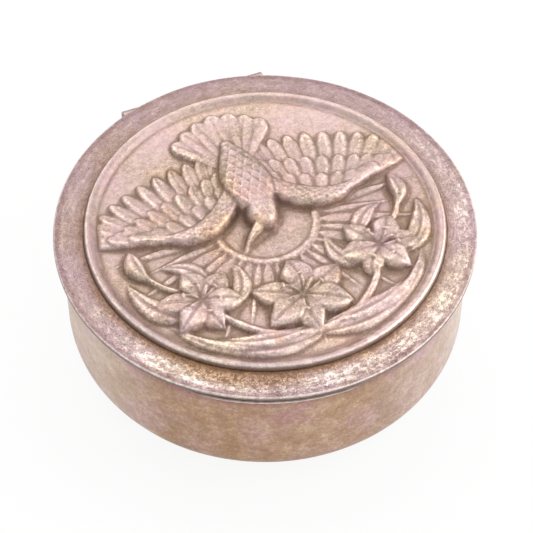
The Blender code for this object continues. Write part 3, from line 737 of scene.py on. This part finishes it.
def lid_frame_mesh(sizes):
    """Ring with a crowned flange, worn at its edge, a short skirt and a stepped seat.

    The flange's top passes through 0.55 and 0.9 of the crown on its way in, and waves by
    0.018 mm * (cos(3b + 0.4) + cos(7b + 1.9) + 0.6 sin(17b)) at its edge, b being the bearing.
    """
    foot = FRAME_LOW[2]
    under = foot + sizes.skirt
    edge_top = under + sizes.flange
    top = edge_top + sizes.crown
    seat = top - sizes.recess
    low = seat - FRAME_SHEET
    hole = PLATE_RADIUS - SEAT_LEDGE
    recess = PLATE_RADIUS + SEAT_PLAY
    skirt_outer = CUP_RADIUS + SKIRT_PROUD
    skirt_inner = skirt_outer - SKIRT_WALL
    corners = [(hole, low, 0.05), (skirt_inner, low, 0.05), (skirt_inner, foot, 0.05),
               (skirt_outer, foot, 0.08), (skirt_outer, under, 0.05),
               (FLANGE_RADIUS, under, 0.10), (FLANGE_RADIUS, edge_top, 0.12),
               (FLANGE_RADIUS - 0.9 * MM, edge_top + 0.55 * sizes.crown, 0.3),
               (FLANGE_RADIUS - 1.9 * MM, edge_top + 0.9 * sizes.crown, 0.3),
               (recess, top, 0.05), (recess, seat, 0.03), (hole, seat, 0.05)]
    points = turned(filled(eased([(r, z, cut * MM) for r, z, cut in corners]), 0.3 * MM))
    groove, runs = hinge_room(points)
    below = points[..., 2] < under + 0.2 * MM
    points[..., 2] = np.where(runs & below, np.maximum(points[..., 2], HINGE[2] + groove), points[..., 2])
    b, radius = polar(points)
    wave = 0.018 * MM * (np.cos(3 * b + 0.4) + np.cos(7 * b + 1.9) + 0.6 * np.sin(17 * b))
    outward = np.clip((radius - recess) / (FLANGE_RADIUS - recess), 0, 1)
    points[..., 2] += wave * outward * (points[..., 2] > under - 0.02 * MM)
    return revolved("lid_ring", points)


def lip_mesh():
    """Half-round strip under part of the flange's edge, drawn thin towards its ends.

    At a share s of the way along, with e = how far s lies inside an end, the section's
    height shrinks by k = 0.25 + 0.75 sqrt(1 - e^2), its upper side staying where it is, and
    its width by 0.7 + 0.3 k, its inner side staying where it is.
    """
    height = LIP_HIGH[2] - LIP_LOW[2]
    section = filled(eased([(-LIP_WIDTH, -height, 0.05 * MM), (0, -height, 0.17 * MM),
                            (0, 0, 0.12 * MM), (-LIP_WIDTH, 0, 0.05 * MM)], steps=7), 0.1 * MM)
    s = np.linspace(0, 1, 160)
    bearing = np.radians(LIP_BEARING + LIP_SPAN * (s - 0.5))[:, None]
    into_end = np.clip(np.maximum(1 - s / 0.22, (s - 0.9) / 0.1), 0, 1)
    scale = (0.25 + 0.75 * np.sqrt(1 - into_end ** 2))[:, None]
    r = FLANGE_RADIUS - LIP_WIDTH + (section[None, :, 0] + LIP_WIDTH) * (0.7 + 0.3 * scale)
    z = LIP_HIGH[2] + section[None, :, 1] * scale
    points = np.stack([r * np.cos(bearing), r * np.sin(bearing), z], axis=-1)
    ends = np.repeat(points.mean(axis=1, keepdims=True)[[0, -1]], len(section), axis=1)
    return revolved("lip", np.concatenate([ends[:1], points, ends[1:]]), joined=False)


def along_hinge(section):
    """Points of a section (distance from the axis, place along it), turned about the hinge's axis."""
    turn = np.linspace(0, 2 * np.pi, TUBE_STEPS, endpoint=False)
    r, x = section[:, :1], section[:, 1:]
    return np.stack([x + 0 * turn, HINGE[1] + r * np.cos(turn), HINGE[2] + r * np.sin(turn)], axis=-1)


def knuckle_mesh(node, sizes):
    """Short tube with eased ends."""
    start, end = (corner[0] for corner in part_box(node))
    section = filled(eased([(sizes.bore, start, BORE_EASE), (KNUCKLE_RADIUS, start, KNUCKLE_EASE),
                            (KNUCKLE_RADIUS, end, KNUCKLE_EASE), (sizes.bore, end, BORE_EASE)]), 0.2 * MM)
    return revolved(node, along_hinge(section))


def pin_mesh():
    """Wire with ends domed by light hammering: (radius sin q, dome (1 - cos q)), q up to 90 degrees."""
    radius = (PIN_HIGH[2] - PIN_LOW[2]) / 2
    q = np.linspace(0, 1, 8) * np.pi / 2
    r, sunk = radius * np.sin(q), PIN_DOME * (1 - np.cos(q))
    left = np.stack([r, PIN_LOW[0] + sunk], axis=1)
    right = np.stack([r, PIN_HIGH[0] - sunk], axis=1)[::-1]
    section = filled(np.concatenate([left, right]), 0.5 * MM, closed=False)
    return revolved("pin", along_hinge(section), joined=False)


class Wire:
    """A number, vector or colour inside a material; arithmetic on it adds Math nodes."""

    def __init__(self, finish, socket):
        self.finish = finish
        self.socket = socket

    def math(self, operation, *others):
        """Math node on this value and others."""
        values = dict(enumerate((self, *others)))
        return self.finish.node("ShaderNodeMath", {"operation": operation}, values)

    __add__ = __radd__ = partialmethod(math, "ADD")
    __sub__ = partialmethod(math, "SUBTRACT")
    __mul__ = __rmul__ = partialmethod(math, "MULTIPLY")
    __truediv__ = partialmethod(math, "DIVIDE")
    __pow__ = partialmethod(math, "POWER")

    def __rsub__(self, other):
        return self.finish.node("ShaderNodeMath", {"operation": "SUBTRACT"}, {0: other, 1: self})

    def clamped(self):
        """The value held between 0 and 1."""
        return self.finish.node("ShaderNodeClamp", {}, {"Value": self})

    def step(self, low, high):
        """0 below low, 1 above high, and smooth between; low may be the larger."""
        values = {"Value": self, "From Min": low, "From Max": high}
        return self.finish.node("ShaderNodeMapRange", {"interpolation_type": "SMOOTHSTEP"}, values)


class Shader:
    """A node tree being built."""

    def __init__(self, tree):
        self.tree = tree

    def node(self, kind, settings, values, output=0):
        """Add a node: its settings first, then the values or links of its inputs."""
        made = self.tree.nodes.new(kind)
        for label, setting in settings.items():
            setattr(made, label, setting)
        for label, value in values.items():
            self.give(made.inputs[label], value)
        return Wire(self, made.outputs[output])

    def give(self, socket, value):
        """Link an input to a node's output, or set it to a plain value."""
        if isinstance(value, Wire):
            self.tree.links.new(value.socket, socket)
        else:
            socket.default_value = value


class Finish(Shader):
    """A material being built round one Principled shader."""

    def __init__(self, name):
        self.material = bpy.data.materials.new(name)
        self.material.use_nodes = True
        super().__init__(self.material.node_tree)
        self.shader = self.tree.nodes["Principled BSDF"]
        objects = self.node("ShaderNodeTexCoord", {}, {}, "Object")
        self.place = self.node("ShaderNodeVectorMath", {"operation": "SCALE"}, {0: objects, "Scale": 1 / MM})
        self.x, self.y, self.z = (
            self.node("ShaderNodeSeparateXYZ", {}, {0: self.place}, axis) for axis in range(3))
        self.radius = (self.x * self.x + self.y * self.y) ** 0.5
        self.tone = None

    def noise(self, scale, detail=3.0, roughness=0.55, distortion=0.0, place=None):
        """Noise with about scale lumps a millimetre, from 0 to 1."""
        values = {"Vector": place or self.place, "Scale": scale, "Detail": detail,
                  "Roughness": roughness, "Distortion": distortion}
        return self.node("ShaderNodeTexNoise", {"noise_dimensions": "3D"}, values)

    def stretched(self, along):
        """Place with each axis multiplied, for grain that runs one way."""
        return self.node("ShaderNodeVectorMath", {"operation": "MULTIPLY"}, {0: self.place, 1: along})

    def shifted(self, offset):
        """Place moved, so that two like noises don't match."""
        return self.node("ShaderNodeVectorMath", {"operation": "ADD"}, {0: self.place, 1: offset})

    def around(self, along, across):
        """Place for grain drawn out round the box: lumps a millimetre round it and across it."""
        circle = GRAIN_RADIUS * along
        values = {0: self.x / self.radius * circle, 1: self.y / self.radius * circle,
                  2: (self.radius + self.z) * across}
        return self.node("ShaderNodeCombineXYZ", {}, values)

    def ramp(self, value, *stops):
        """Colours laid along a value: each stop is a position and a display colour."""
        wire = self.node("ShaderNodeValToRGB", {}, {"Fac": value})
        elements = wire.socket.node.color_ramp.elements
        while len(elements) < len(stops):
            elements.new(0.5)
        for element, (position, *colour) in zip(elements, stops):
            element.position = position
            element.color = (*srgb(*colour), 1.0)
        return wire

    def attribute(self, name):
        """Value stored on the piece's points."""
        return self.node("ShaderNodeAttribute", {"attribute_name": name}, {}, "Fac")

    def mix(self, factor, first, second, blend="MIX"):
        """Blend of two colours."""
        values = {0: factor, 6: self.opaque(first), 7: self.opaque(second)}
        return self.node("ShaderNodeMix", {"data_type": "RGBA", "blend_type": blend}, values, 2)

    @staticmethod
    def opaque(colour):
        """A plain colour with its fourth value added."""
        return colour if isinstance(colour, Wire) else (*colour, 1.0)

    def cover(self, factor, colour, blend="MIX"):
        """Lay a colour over the tone."""
        self.tone = self.mix(factor, self.tone, colour, blend)

    def tint(self, factor, colour):
        """Multiply the tone by a colour."""
        self.cover(factor, colour, "MULTIPLY")

    def satin(self, grain, colours):
        """Tone of the inner faces: pale silver, clouded and a little pitted."""
        tone = self.mix(grain.clouds, colours.inside, srgb(196, 186, 170))
        return self.mix(grain.mottle * 0.2 + grain.pits * 0.2, tone, srgb(150, 136, 120))

    def toward(self, turn, width):
        """1 on the side that lies turn degrees anticlockwise of the front, 0 past width degrees from it."""
        a = math.radians(FRONT_BEARING + turn)
        facing = (self.x * math.cos(a) + self.y * math.sin(a)) / (self.radius + 0.001)
        return facing.step(math.cos(math.radians(width)), 1.0)

    def bumps(self, *heights):
        """Normal from (height, distance in metres) pairs, laid one over the other."""
        normal = None
        for height, distance in heights:
            values = {"Strength": 1.0, "Distance": distance, "Height": height}
            if normal:
                values["Normal"] = normal
            normal = self.node("ShaderNodeBump", {}, values)
        self.feed(Normal=normal)

    def feed(self, **inputs):
        """Set or link the shader's sockets, whose names are written with _ for a space."""
        for label, value in inputs.items():
            self.give(self.shader.inputs[label.replace("_", " ")], value)


class Grain:
    """Masks that every worn silver surface shares, from clouds 8 mm wide to pits of 0.15 mm."""

    def __init__(self, finish):
        self.clouds = finish.noise(0.13, 3.0).step(0.40, 0.62)
        self.drifts = finish.noise(0.22, 4.0, 0.6, 0.4, finish.shifted((3, 27, 14))).step(0.40, 0.62)
        self.blotches = finish.noise(0.45, 6.0, 0.65, 0.5, finish.shifted((7, 3, 11))).step(0.40, 0.64)
        self.mottle = finish.noise(1.9, 7.0, 0.75, 0.3, finish.shifted((31, 17, 5))).step(0.38, 0.62)
        self.flecks = finish.noise(4.4, 4.0, 0.7, 0.4, finish.shifted((12, 41, 9))).step(0.52, 0.60)
        self.pits = finish.noise(6.5, 2.0, 0.6, 0.0, finish.shifted((2, 19, 23))).step(0.58, 0.67)
        self.streaks = finish.noise(1.0, 5.0, 0.72, 0.4, finish.around(0.6, 2.4)).step(0.40, 0.60)
        self.flakes = finish.noise(1.0, 5.0, 0.75, 0.6, finish.around(1.7, 3.4)).step(0.46, 0.53)
        self.specks = finish.noise(2.8, 5.0, 0.8, 0.5, finish.shifted((5, 8, 33))).step(0.48, 0.53)


def cup_silver(colours):
    """Warm tarnish on the wall, golden and rose by turns, paler where hands rub it; its sides are painted
    paler as a reflection, and a painted shadow, partly purple tarnish, darkens it just under the lid.
    """
    finish = Finish("tarnished_cup_silver")
    grain = Grain(finish)
    # left and right: the wall's sides, painted paler as a reflection of the pale surroundings
    left = finish.toward(-76, 52)
    right = finish.toward(76, 54)
    # Band just under the lid's flange: painted shadow of the flange, partly purple tarnish
    shade_and_tarnish_under_rim = finish.z.step(MOUTH - 1.8, MOUTH - 0.2) * finish.radius.step(WALL - 0.3, WALL - 0.1)
    uneven = (0.15 * grain.mottle + 0.15 * grain.blotches + 0.06 * grain.streaks + 0.08 * grain.flecks
              + 0.12 * grain.drifts - 0.12 * grain.pits - 0.24)
    # Lighter on the sides as painted reflection, darker under the rim as painted shadow
    level = 0.62 + 0.95 * uneven + 0.17 * right + 0.15 * left - 0.13 * shade_and_tarnish_under_rim
    finish.tone = finish.ramp(level, (0.0, 92, 72, 62), (0.22, 132, 104, 92), (0.38, 158, 126, 110),
                              (0.52, 180, 146, 125), (0.66, 197, 166, 144), (0.82, 218, 194, 178),
                              (1.0, 240, 226, 217))
    below = finish.toward(-33, 50) * finish.z.step(MOUTH - 0.4, MOUTH - 5.4)
    stained = finish.noise(0.16, 4.0, 0.6, 0.8, finish.shifted((9, 14, 27))).step(0.44, 0.60)
    finish.tint(below * (0.05 + 0.25 * stained), colours.golden)
    finish.tint(stained * 0.65, colours.golden)
    high = finish.z.step(MOUTH - 6.4, MOUTH - 1.4)
    finish.tint((1 - stained) * grain.drifts * (0.5 + 0.5 * high), colours.rose)
    # Purple under the rim: partly tarnish, partly painted shadow
    finish.tint(shade_and_tarnish_under_rim * (0.4 + 0.5 * grain.drifts), srgb(222, 208, 240))
    # Pale colour over the left, right and far right of the wall: painted reflection
    far_reflection = finish.toward(100, 44)
    finish.cover(left * 0.30 + right * 0.15 + far_reflection * 0.45, srgb(225, 218, 219))
    finish.cover(finish.attribute("inside"), finish.satin(grain, colours))
    finish.cover(finish.attribute("rub") * 0.6, colours.bright)
    brushed = finish.noise(1.0, 4.0, 0.7, 0.0, finish.stretched((0.35, 0.35, 9.0)))
    finish.bumps((finish.noise(0.5, 2.0), 0.10 * MM), (grain.mottle, 0.010 * MM), (brushed, 0.006 * MM))
    finish.feed(Base_Color=finish.tone, Metallic=0.88 - 0.2 * grain.pits,
                Roughness=0.42 + 0.14 * grain.blotches - 0.08 * grain.flecks)
    return finish.material


def lid_silver(colours):
    """Mauve patina on the flange, rubbed bright in flakes and dirty against the medallion, with painted shade
    there too, a painted highlight along its outer corner and painted shade on its upright outer face.
    """
    finish = Finish("patinated_lid_silver")
    grain = Grain(finish)
    radius, height = finish.radius, finish.z
    front = finish.toward(4, 68)
    right = finish.toward(74, 72)
    back = finish.toward(-150, 100)
    near = finish.toward(-30, 115)
    ring = radius.step(EDGE - 2.4, EDGE - 1.7) * radius.step(EDGE - 0.4, EDGE - 0.7)
    edge = radius.step(EDGE - 0.85, EDGE - 0.5) * radius.step(EDGE - 0.14, EDGE - 0.22)
    inward = radius.step(RIM + 1.4, RIM + 0.2) * (0.12 + 0.38 * near + 0.4 * finish.toward(-6, 80))
    patch = finish.toward(-6, 22) * radius.step(RIM + 2.2, RIM + 1.3)
    bared = finish.toward(-27, 20) * ring
    grime = ((inward + 1.25 * patch) * (0.45 + 0.5 * grain.blotches + 0.3 * grain.mottle)).clamped()
    # Dark band at the foot of the medallion's border: brown dirt along the joint, partly painted shade
    foot = radius.step(RIM + 0.8, RIM + 0.1) * (0.15 + 0.35 * near + 0.4 * (front + right).clamped())
    uneven = (0.22 * grain.mottle + 0.16 * grain.blotches + 0.22 * grain.streaks + 0.22 * grain.flecks
              - 0.32 * grain.pits - 0.28)
    flaked = (grain.flakes * (0.45 + 0.55 * grain.blotches) * ring * (0.10 + 0.75 * front + 0.45 * right)
              * (1 - 0.6 * grime))
    level = (0.465 + (0.50 + 0.44 * front + 0.25 * right) * uneven + 0.52 * flaked + 0.10 * bared
             + 0.04 * front + 0.07 * right - 0.16 * foot - 0.07 * edge - 0.05 * back)
    finish.tone = finish.ramp(level, (0.0, 88, 70, 62), (0.18, 134, 110, 100), (0.34, 158, 134, 128),
                              (0.48, 176, 153, 152), (0.62, 197, 174, 168), (0.78, 228, 206, 198),
                              (1.0, 252, 240, 233))
    finish.tint(grain.clouds * 0.6, colours.olive)
    finish.tint(grain.drifts * 0.5 + edge * 0.5, colours.mauve)
    finish.tint(grime * 0.7, srgb(255, 234, 200))
    finish.tint(foot * (0.5 + 0.4 * grain.mottle), srgb(206, 188, 158))
    crust = (grime * (0.05 + 1.0 * grain.specks)).clamped()
    finish.cover(crust * 0.9, colours.dirt)
    # Bright line along the flange's outer corner, strongest at the front: painted highlight, partly silver
    # rubbed clean
    arris_highlight_and_wear = radius.step(EDGE - 0.18, EDGE - 0.08) * height.step(SKIRT_FOOT + 0.96, SKIRT_FOOT + 1.04)
    finish.cover(arris_highlight_and_wear * (0.45 + 0.45 * front) * (0.5 + 0.6 * grain.mottle), colours.bright)
    # Flange's upright outer face darkened: painted shade
    flank_shade = height.step(SKIRT_FOOT + 1.0, SKIRT_FOOT + 0.92) * radius.step(EDGE - 0.4, EDGE - 0.1)
    finish.cover(flank_shade * 0.8, srgb(134, 115, 108))
    under = height.step(SKIRT_FOOT + 0.7, SKIRT_FOOT + 0.6) * radius.step(WALL - 0.02, WALL - 0.12)
    finish.cover(under, finish.satin(grain, colours))
    finish.bumps((finish.noise(0.6, 2.0), 0.12 * MM), (uneven + 0.5 * flaked, 0.05 * MM))
    finish.feed(Base_Color=finish.tone, Metallic=0.88 - 0.55 * crust - 0.15 * grain.pits,
                Roughness=0.44 + 0.12 * grain.blotches - 0.15 * flaked + 0.2 * crust)
    return finish.material


def lip_silver(colours):
    """Dark tone on the strip's face, partly tarnish and partly painted shade under the flange, with a painted
    highlight along its lower edge, partly rubbed silver.
    """
    finish = Finish("lip_silver")
    grain = Grain(finish)
    # Dark base tone: tarnish, partly painted shade under the flange's edge
    finish.tone = finish.mix(grain.mottle, srgb(140, 121, 116), srgb(166, 145, 138))
    # Pale band along the lower edge at the front: painted highlight, partly rubbed silver
    worn = finish.z.step(LIP_FOOT + 0.26, LIP_FOOT + 0.18) * finish.toward(6, 26)
    finish.cover(worn * (0.6 + 0.4 * grain.mottle), colours.bright)
    finish.bumps((grain.mottle, 0.006 * MM))
    finish.feed(Base_Color=finish.tone, Metallic=0.88, Roughness=0.40 + 0.1 * grain.blotches)
    return finish.material


def medallion_silver(colours):
    """Patina that follows the relief: dirt in the hollows, bright silver on the high points, painted light on
    its back part and on the border's right side, and painted shade on its outer wall.
    """
    finish = Finish("relief_silver")
    grain = Grain(finish)
    radius = finish.radius
    rub = (finish.attribute("rub") * (0.6 + 0.4 * grain.mottle + 0.4 * grain.flecks)).step(0.2, 1.25)
    dirt = (finish.attribute("dirt") * (0.55 + 0.45 * grain.blotches + 0.3 * grain.mottle)).step(0.06, 1.0)
    # wall: the medallion's upright outer side, darkened as painted shade
    wall = radius.step(RIM - 0.05, RIM - 0.01) * finish.z.step(PLATE_FOOT + 0.48, PLATE_FOOT + 0.36)
    border = radius.step(RIM - 1.5, RIM - 1.1)
    # upper: the back part of the medallion, painted lighter as painted light
    upper = finish.toward(180, 70) * radius.step(RIM - 9, RIM - 1)
    # side: the border's right side, painted lighter as painted light
    side = finish.toward(90, 60) * radius.step(RIM - 1.5, RIM - 0.7)
    uneven = (0.20 * grain.mottle + 0.14 * grain.blotches + 0.10 * grain.drifts + 0.14 * grain.flecks
              - 0.22 * grain.pits - 0.20)
    bared = (finish.toward(22, 62) * radius.step(RIM - 9, RIM - 4) * (1 - dirt).clamped()
             * grain.blotches * (0.3 + 0.7 * grain.flakes))
    level = (0.50 + 0.22 * bared + (0.60 + 0.45 * grain.clouds) * (1 - 0.3 * border) * uneven + 0.24 * rub
             - 0.15 * dirt - 0.12 * wall + (0.10 + 0.06 * border) * upper + 0.09 * side)
    finish.tone = finish.ramp(level, (0.0, 82, 68, 56), (0.20, 126, 107, 94), (0.36, 156, 137, 130),
                              (0.52, 186, 162, 159), (0.68, 208, 185, 179), (0.84, 230, 209, 200),
                              (1.0, 252, 242, 232))
    finish.tint(grain.drifts * 0.7, colours.mauve)
    finish.tint((0.25 + 0.6 * grain.clouds) * (1 - 0.5 * border), colours.olive)
    heat = finish.noise(0.24, 3.0, 0.5, 0.5, finish.shifted((19, 6, 2))).step(0.52, 0.68)
    finish.tint(heat * (0.3 + 0.4 * rub), srgb(255, 236, 214))
    crust = (dirt * (0.35 + 0.3 * grain.mottle + 0.4 * grain.specks)).clamped()
    finish.cover(crust * 0.58, colours.dirt)
    crest = radius.step(RIM - 0.40, RIM - 0.30) * radius.step(RIM - 0.14, RIM - 0.22)
    finish.cover(crest * (0.25 + 0.45 * grain.mottle + 0.15 * grain.streaks), colours.bright)
    finish.cover(finish.attribute("inside"), finish.satin(grain, colours))
    finish.bumps((finish.noise(0.8, 3.0), 0.08 * MM), (uneven, 0.035 * MM))
    finish.feed(Base_Color=finish.tone, Metallic=0.88 - 0.5 * crust,
                Roughness=0.42 + 0.10 * grain.blotches - 0.06 * rub + 0.15 * crust)
    return finish.material


def hinge_silver(name):
    """Drawn tube and wire, tarnished grey-brown."""
    finish = Finish(name)
    grain = Grain(finish)
    level = 0.34 + 0.2 * grain.mottle + 0.2 * grain.blotches + 0.2 * grain.flecks - 0.2 * grain.pits
    finish.tone = finish.ramp(level, (0.0, 92, 78, 70), (0.3, 138, 119, 112), (0.55, 170, 148, 142),
                              (0.8, 200, 180, 172), (1.0, 234, 220, 212))
    drawn = finish.noise(1.2, 3.0, 0.6, 0.0, finish.stretched((0.4, 6.0, 6.0)))
    finish.bumps((drawn, 0.008 * MM), (grain.mottle, 0.010 * MM))
    finish.feed(Base_Color=finish.tone, Metallic=0.92, Roughness=0.40 + 0.14 * grain.clouds)
    return finish.material


def band_silver(colours):
    """Satin band that the closed lid keeps clean."""
    finish = Finish("band_silver")
    grain = Grain(finish)
    finish.tone = finish.mix(grain.clouds, colours.inside, srgb(190, 178, 164))
    finish.cover(grain.pits * 0.35 + grain.blotches * 0.15, srgb(150, 132, 116))
    rubbed = finish.noise(1.0, 4.0, 0.7, 0.0, finish.stretched((0.4, 0.4, 8.0)))
    finish.bumps((rubbed, 0.006 * MM), (grain.mottle, 0.004 * MM))
    finish.feed(Base_Color=finish.tone, Metallic=0.95, Roughness=0.32 + 0.12 * grain.blotches)
    return finish.material


def settings(context):
    """The sizes and the colours that the panel shows."""
    return context.scene.pill_box_sizes, context.scene.pill_box_colours


class PILLBOX_OT_cup(bpy.types.Operator):
    """Make the cup and the band in its mouth"""

    bl_idname = "pillbox.cup"
    bl_label = "Cup and Band"

    def execute(self, context):
        sizes, colours = settings(context)
        piece("cup", cup_mesh(sizes), cup_silver(colours), "box", "warm_silver", "body_cup")
        piece("mouth_band", band_mesh(sizes), band_silver(colours), "box", "inside_silver", "bezel_band")
        return {"FINISHED"}


class PILLBOX_OT_lid(bpy.types.Operator):
    """Make the lid's flange ring and its thumb lip"""

    bl_idname = "pillbox.lid"
    bl_label = "Lid Ring"

    def execute(self, context):
        sizes, colours = settings(context)
        piece("lid_ring", lid_frame_mesh(sizes), lid_silver(colours), "lid", "mauve_silver", "lid_frame")
        piece("lid_lip", lip_mesh(), lip_silver(colours), "lid", "mauve_silver", "thumb_lip")
        return {"FINISHED"}


class PILLBOX_OT_medallion(bpy.types.Operator):
    """Make the pressed relief medallion"""

    bl_idname = "pillbox.medallion"
    bl_label = "Medallion"

    def execute(self, context):
        sizes, colours = settings(context)
        silver = medallion_silver(colours)
        piece("medallion", medallion_mesh(sizes), silver, "lid", "relief_silver", "lid_medallion")
        return {"FINISHED"}


class PILLBOX_OT_hinge(bpy.types.Operator):
    """Make the hinge's knuckles and pin"""

    bl_idname = "pillbox.hinge"
    bl_label = "Hinge"

    def execute(self, context):
        sizes = settings(context)[0]
        tube = hinge_silver("knuckle_silver")
        homes = (("box", "warm_silver", BODY_KNUCKLES), ("lid", "mauve_silver", LID_KNUCKLES))
        for body, slot, nodes in homes:
            for node in nodes:
                piece("hinge_" + node, knuckle_mesh(node, sizes), tube, body, slot, node)
        piece("hinge_wire", pin_mesh(), hinge_silver("pin_silver"), "box", "hinge_silver", "hinge_pin")
        return {"FINISHED"}


def area_light(name, location, size, energy):
    """Square soft box aimed at the middle of the lid."""
    lamp = bpy.data.lights.new(name, "AREA")
    lamp.size = size
    lamp.energy = energy
    thing = linked(name, lamp)
    thing.location = location
    aim = Vector((0, 0, CUP_HEIGHT)) - thing.location
    thing.rotation_euler = aim.to_track_quat("-Z", "Y").to_euler()


def view_camera():
    """Camera before the front, which shows the lid's centre at LID_CENTRE_PIXEL.

    It looks at the lid's centre first, and is then turned by the angle between the image's
    centre and the wanted pixel.
    """
    bearing, lift = math.radians(FRONT_BEARING), math.radians(VIEW_ELEVATION)
    target = Vector((0, 0, VIEW_HEIGHT))
    back = Vector((math.cos(bearing) * math.cos(lift), math.sin(bearing) * math.cos(lift), math.sin(lift)))
    side = Vector((-math.sin(bearing), math.cos(bearing), 0))
    aim = Matrix((side, back.cross(side), back)).transposed()
    across = math.atan((LID_CENTRE_PIXEL[0] - IMAGE_SIZE / 2) / FOCAL_PIXELS)
    down = math.atan((IMAGE_SIZE / 2 - LID_CENTRE_PIXEL[1]) / FOCAL_PIXELS)
    aim = aim @ Matrix.Rotation(across, 3, "Y") @ Matrix.Rotation(-down, 3, "X")
    lens = bpy.data.cameras.new("view")
    lens.sensor_width = SENSOR_WIDTH
    lens.lens = FOCAL_PIXELS / IMAGE_SIZE * SENSOR_WIDTH
    lens.clip_start = 0.01
    camera = linked("view", lens)
    camera.matrix_world = Matrix.Translation(target + back * VIEW_DISTANCE) @ aim.to_4x4()
    bpy.context.scene.camera = camera


def pale_ground():
    """Pale matt ground that the camera and the silver see as white, with a soft shadow."""
    finish = Finish("pale_ground")
    finish.feed(Base_Color=(0.9, 0.9, 0.9, 1.0), Roughness=0.9)
    rays = finish.node("ShaderNodeLightPath", {}, {}, "Is Camera Ray")
    glossy = finish.node("ShaderNodeLightPath", {}, {}, "Is Glossy Ray")
    glow = finish.node("ShaderNodeEmission", {}, {"Strength": 1.0})
    matt = Wire(finish, finish.shader.outputs["BSDF"])
    shown = finish.node("ShaderNodeMixShader", {}, {0: 0.9 * rays + 0.6 * glossy, 1: matt, 2: glow})
    finish.give(finish.tree.nodes["Material Output"].inputs["Surface"], shown)
    return finish.material


def pale_tent(context):
    """World that the camera sees as white and that lights the box softly from all round."""
    world = bpy.data.worlds.new("pale_tent")
    context.scene.world = world
    world.use_nodes = True
    tent = Shader(world.node_tree)
    background = world.node_tree.nodes["Background"]
    tent.give(background.inputs["Color"], (1, 1, 1, 1))
    seen = tent.node("ShaderNodeLightPath", {}, {}, "Is Camera Ray")
    tent.give(background.inputs["Strength"], TENT_LEVEL + (1 - TENT_LEVEL) * seen)


class PILLBOX_OT_stage(bpy.types.Operator):
    """Make the floor, the soft light and the camera"""

    bl_idname = "pillbox.stage"
    bl_label = "Stage"

    def execute(self, context):
        mesh = bpy.data.meshes.new("ground")
        corners = [(x * GROUND_HALF, y * GROUND_HALF, 0) for x, y in ((-1, -1), (1, -1), (1, 1), (-1, 1))]
        mesh.from_pydata(corners, [], [(0, 1, 2, 3)])
        mesh.materials.append(pale_ground())
        ground = linked("ground", mesh)
        pale_tent(context)
        area_light("key", (0.02, 0.30, 0.42), 0.44, 1.25)
        area_light("side", (0.42, -0.10, 0.22), 0.40, 1.5)
        view_camera()
        context.scene.view_settings.view_transform = "Standard"
        return {"FINISHED"}


class PILLBOX_PT_panel(bpy.types.Panel):
    """Sizes, colours and steps of the pill box"""

    bl_label = "Pill Box"
    bl_space_type = "VIEW_3D"
    bl_region_type = "UI"
    bl_category = "Pill Box"

    def draw(self, context):
        for group in settings(context):
            for label in group.bl_rna.properties.keys():
                if label not in ("rna_type", "name"):
                    self.layout.prop(group, label)
        for step in STEPS:
            self.layout.operator(step.bl_idname)


STEPS = (PILLBOX_OT_cup, PILLBOX_OT_lid, PILLBOX_OT_medallion, PILLBOX_OT_hinge, PILLBOX_OT_stage)
CLASSES = (PillBoxSizes, PillBoxColours, *STEPS, PILLBOX_PT_panel)


def register():
    for item in CLASSES:
        bpy.utils.register_class(item)
    bpy.types.Scene.pill_box_sizes = bpy.props.PointerProperty(type=PillBoxSizes)
    bpy.types.Scene.pill_box_colours = bpy.props.PointerProperty(type=PillBoxColours)


def unregister():
    del bpy.types.Scene.pill_box_colours
    del bpy.types.Scene.pill_box_sizes
    for item in reversed(CLASSES):
        bpy.utils.unregister_class(item)


def main():
    register()
    bpy.ops.pillbox.cup()
    bpy.ops.pillbox.lid()
    bpy.ops.pillbox.medallion()
    bpy.ops.pillbox.hinge()
    bpy.ops.pillbox.stage()


if __name__ == "__main__":
    main()
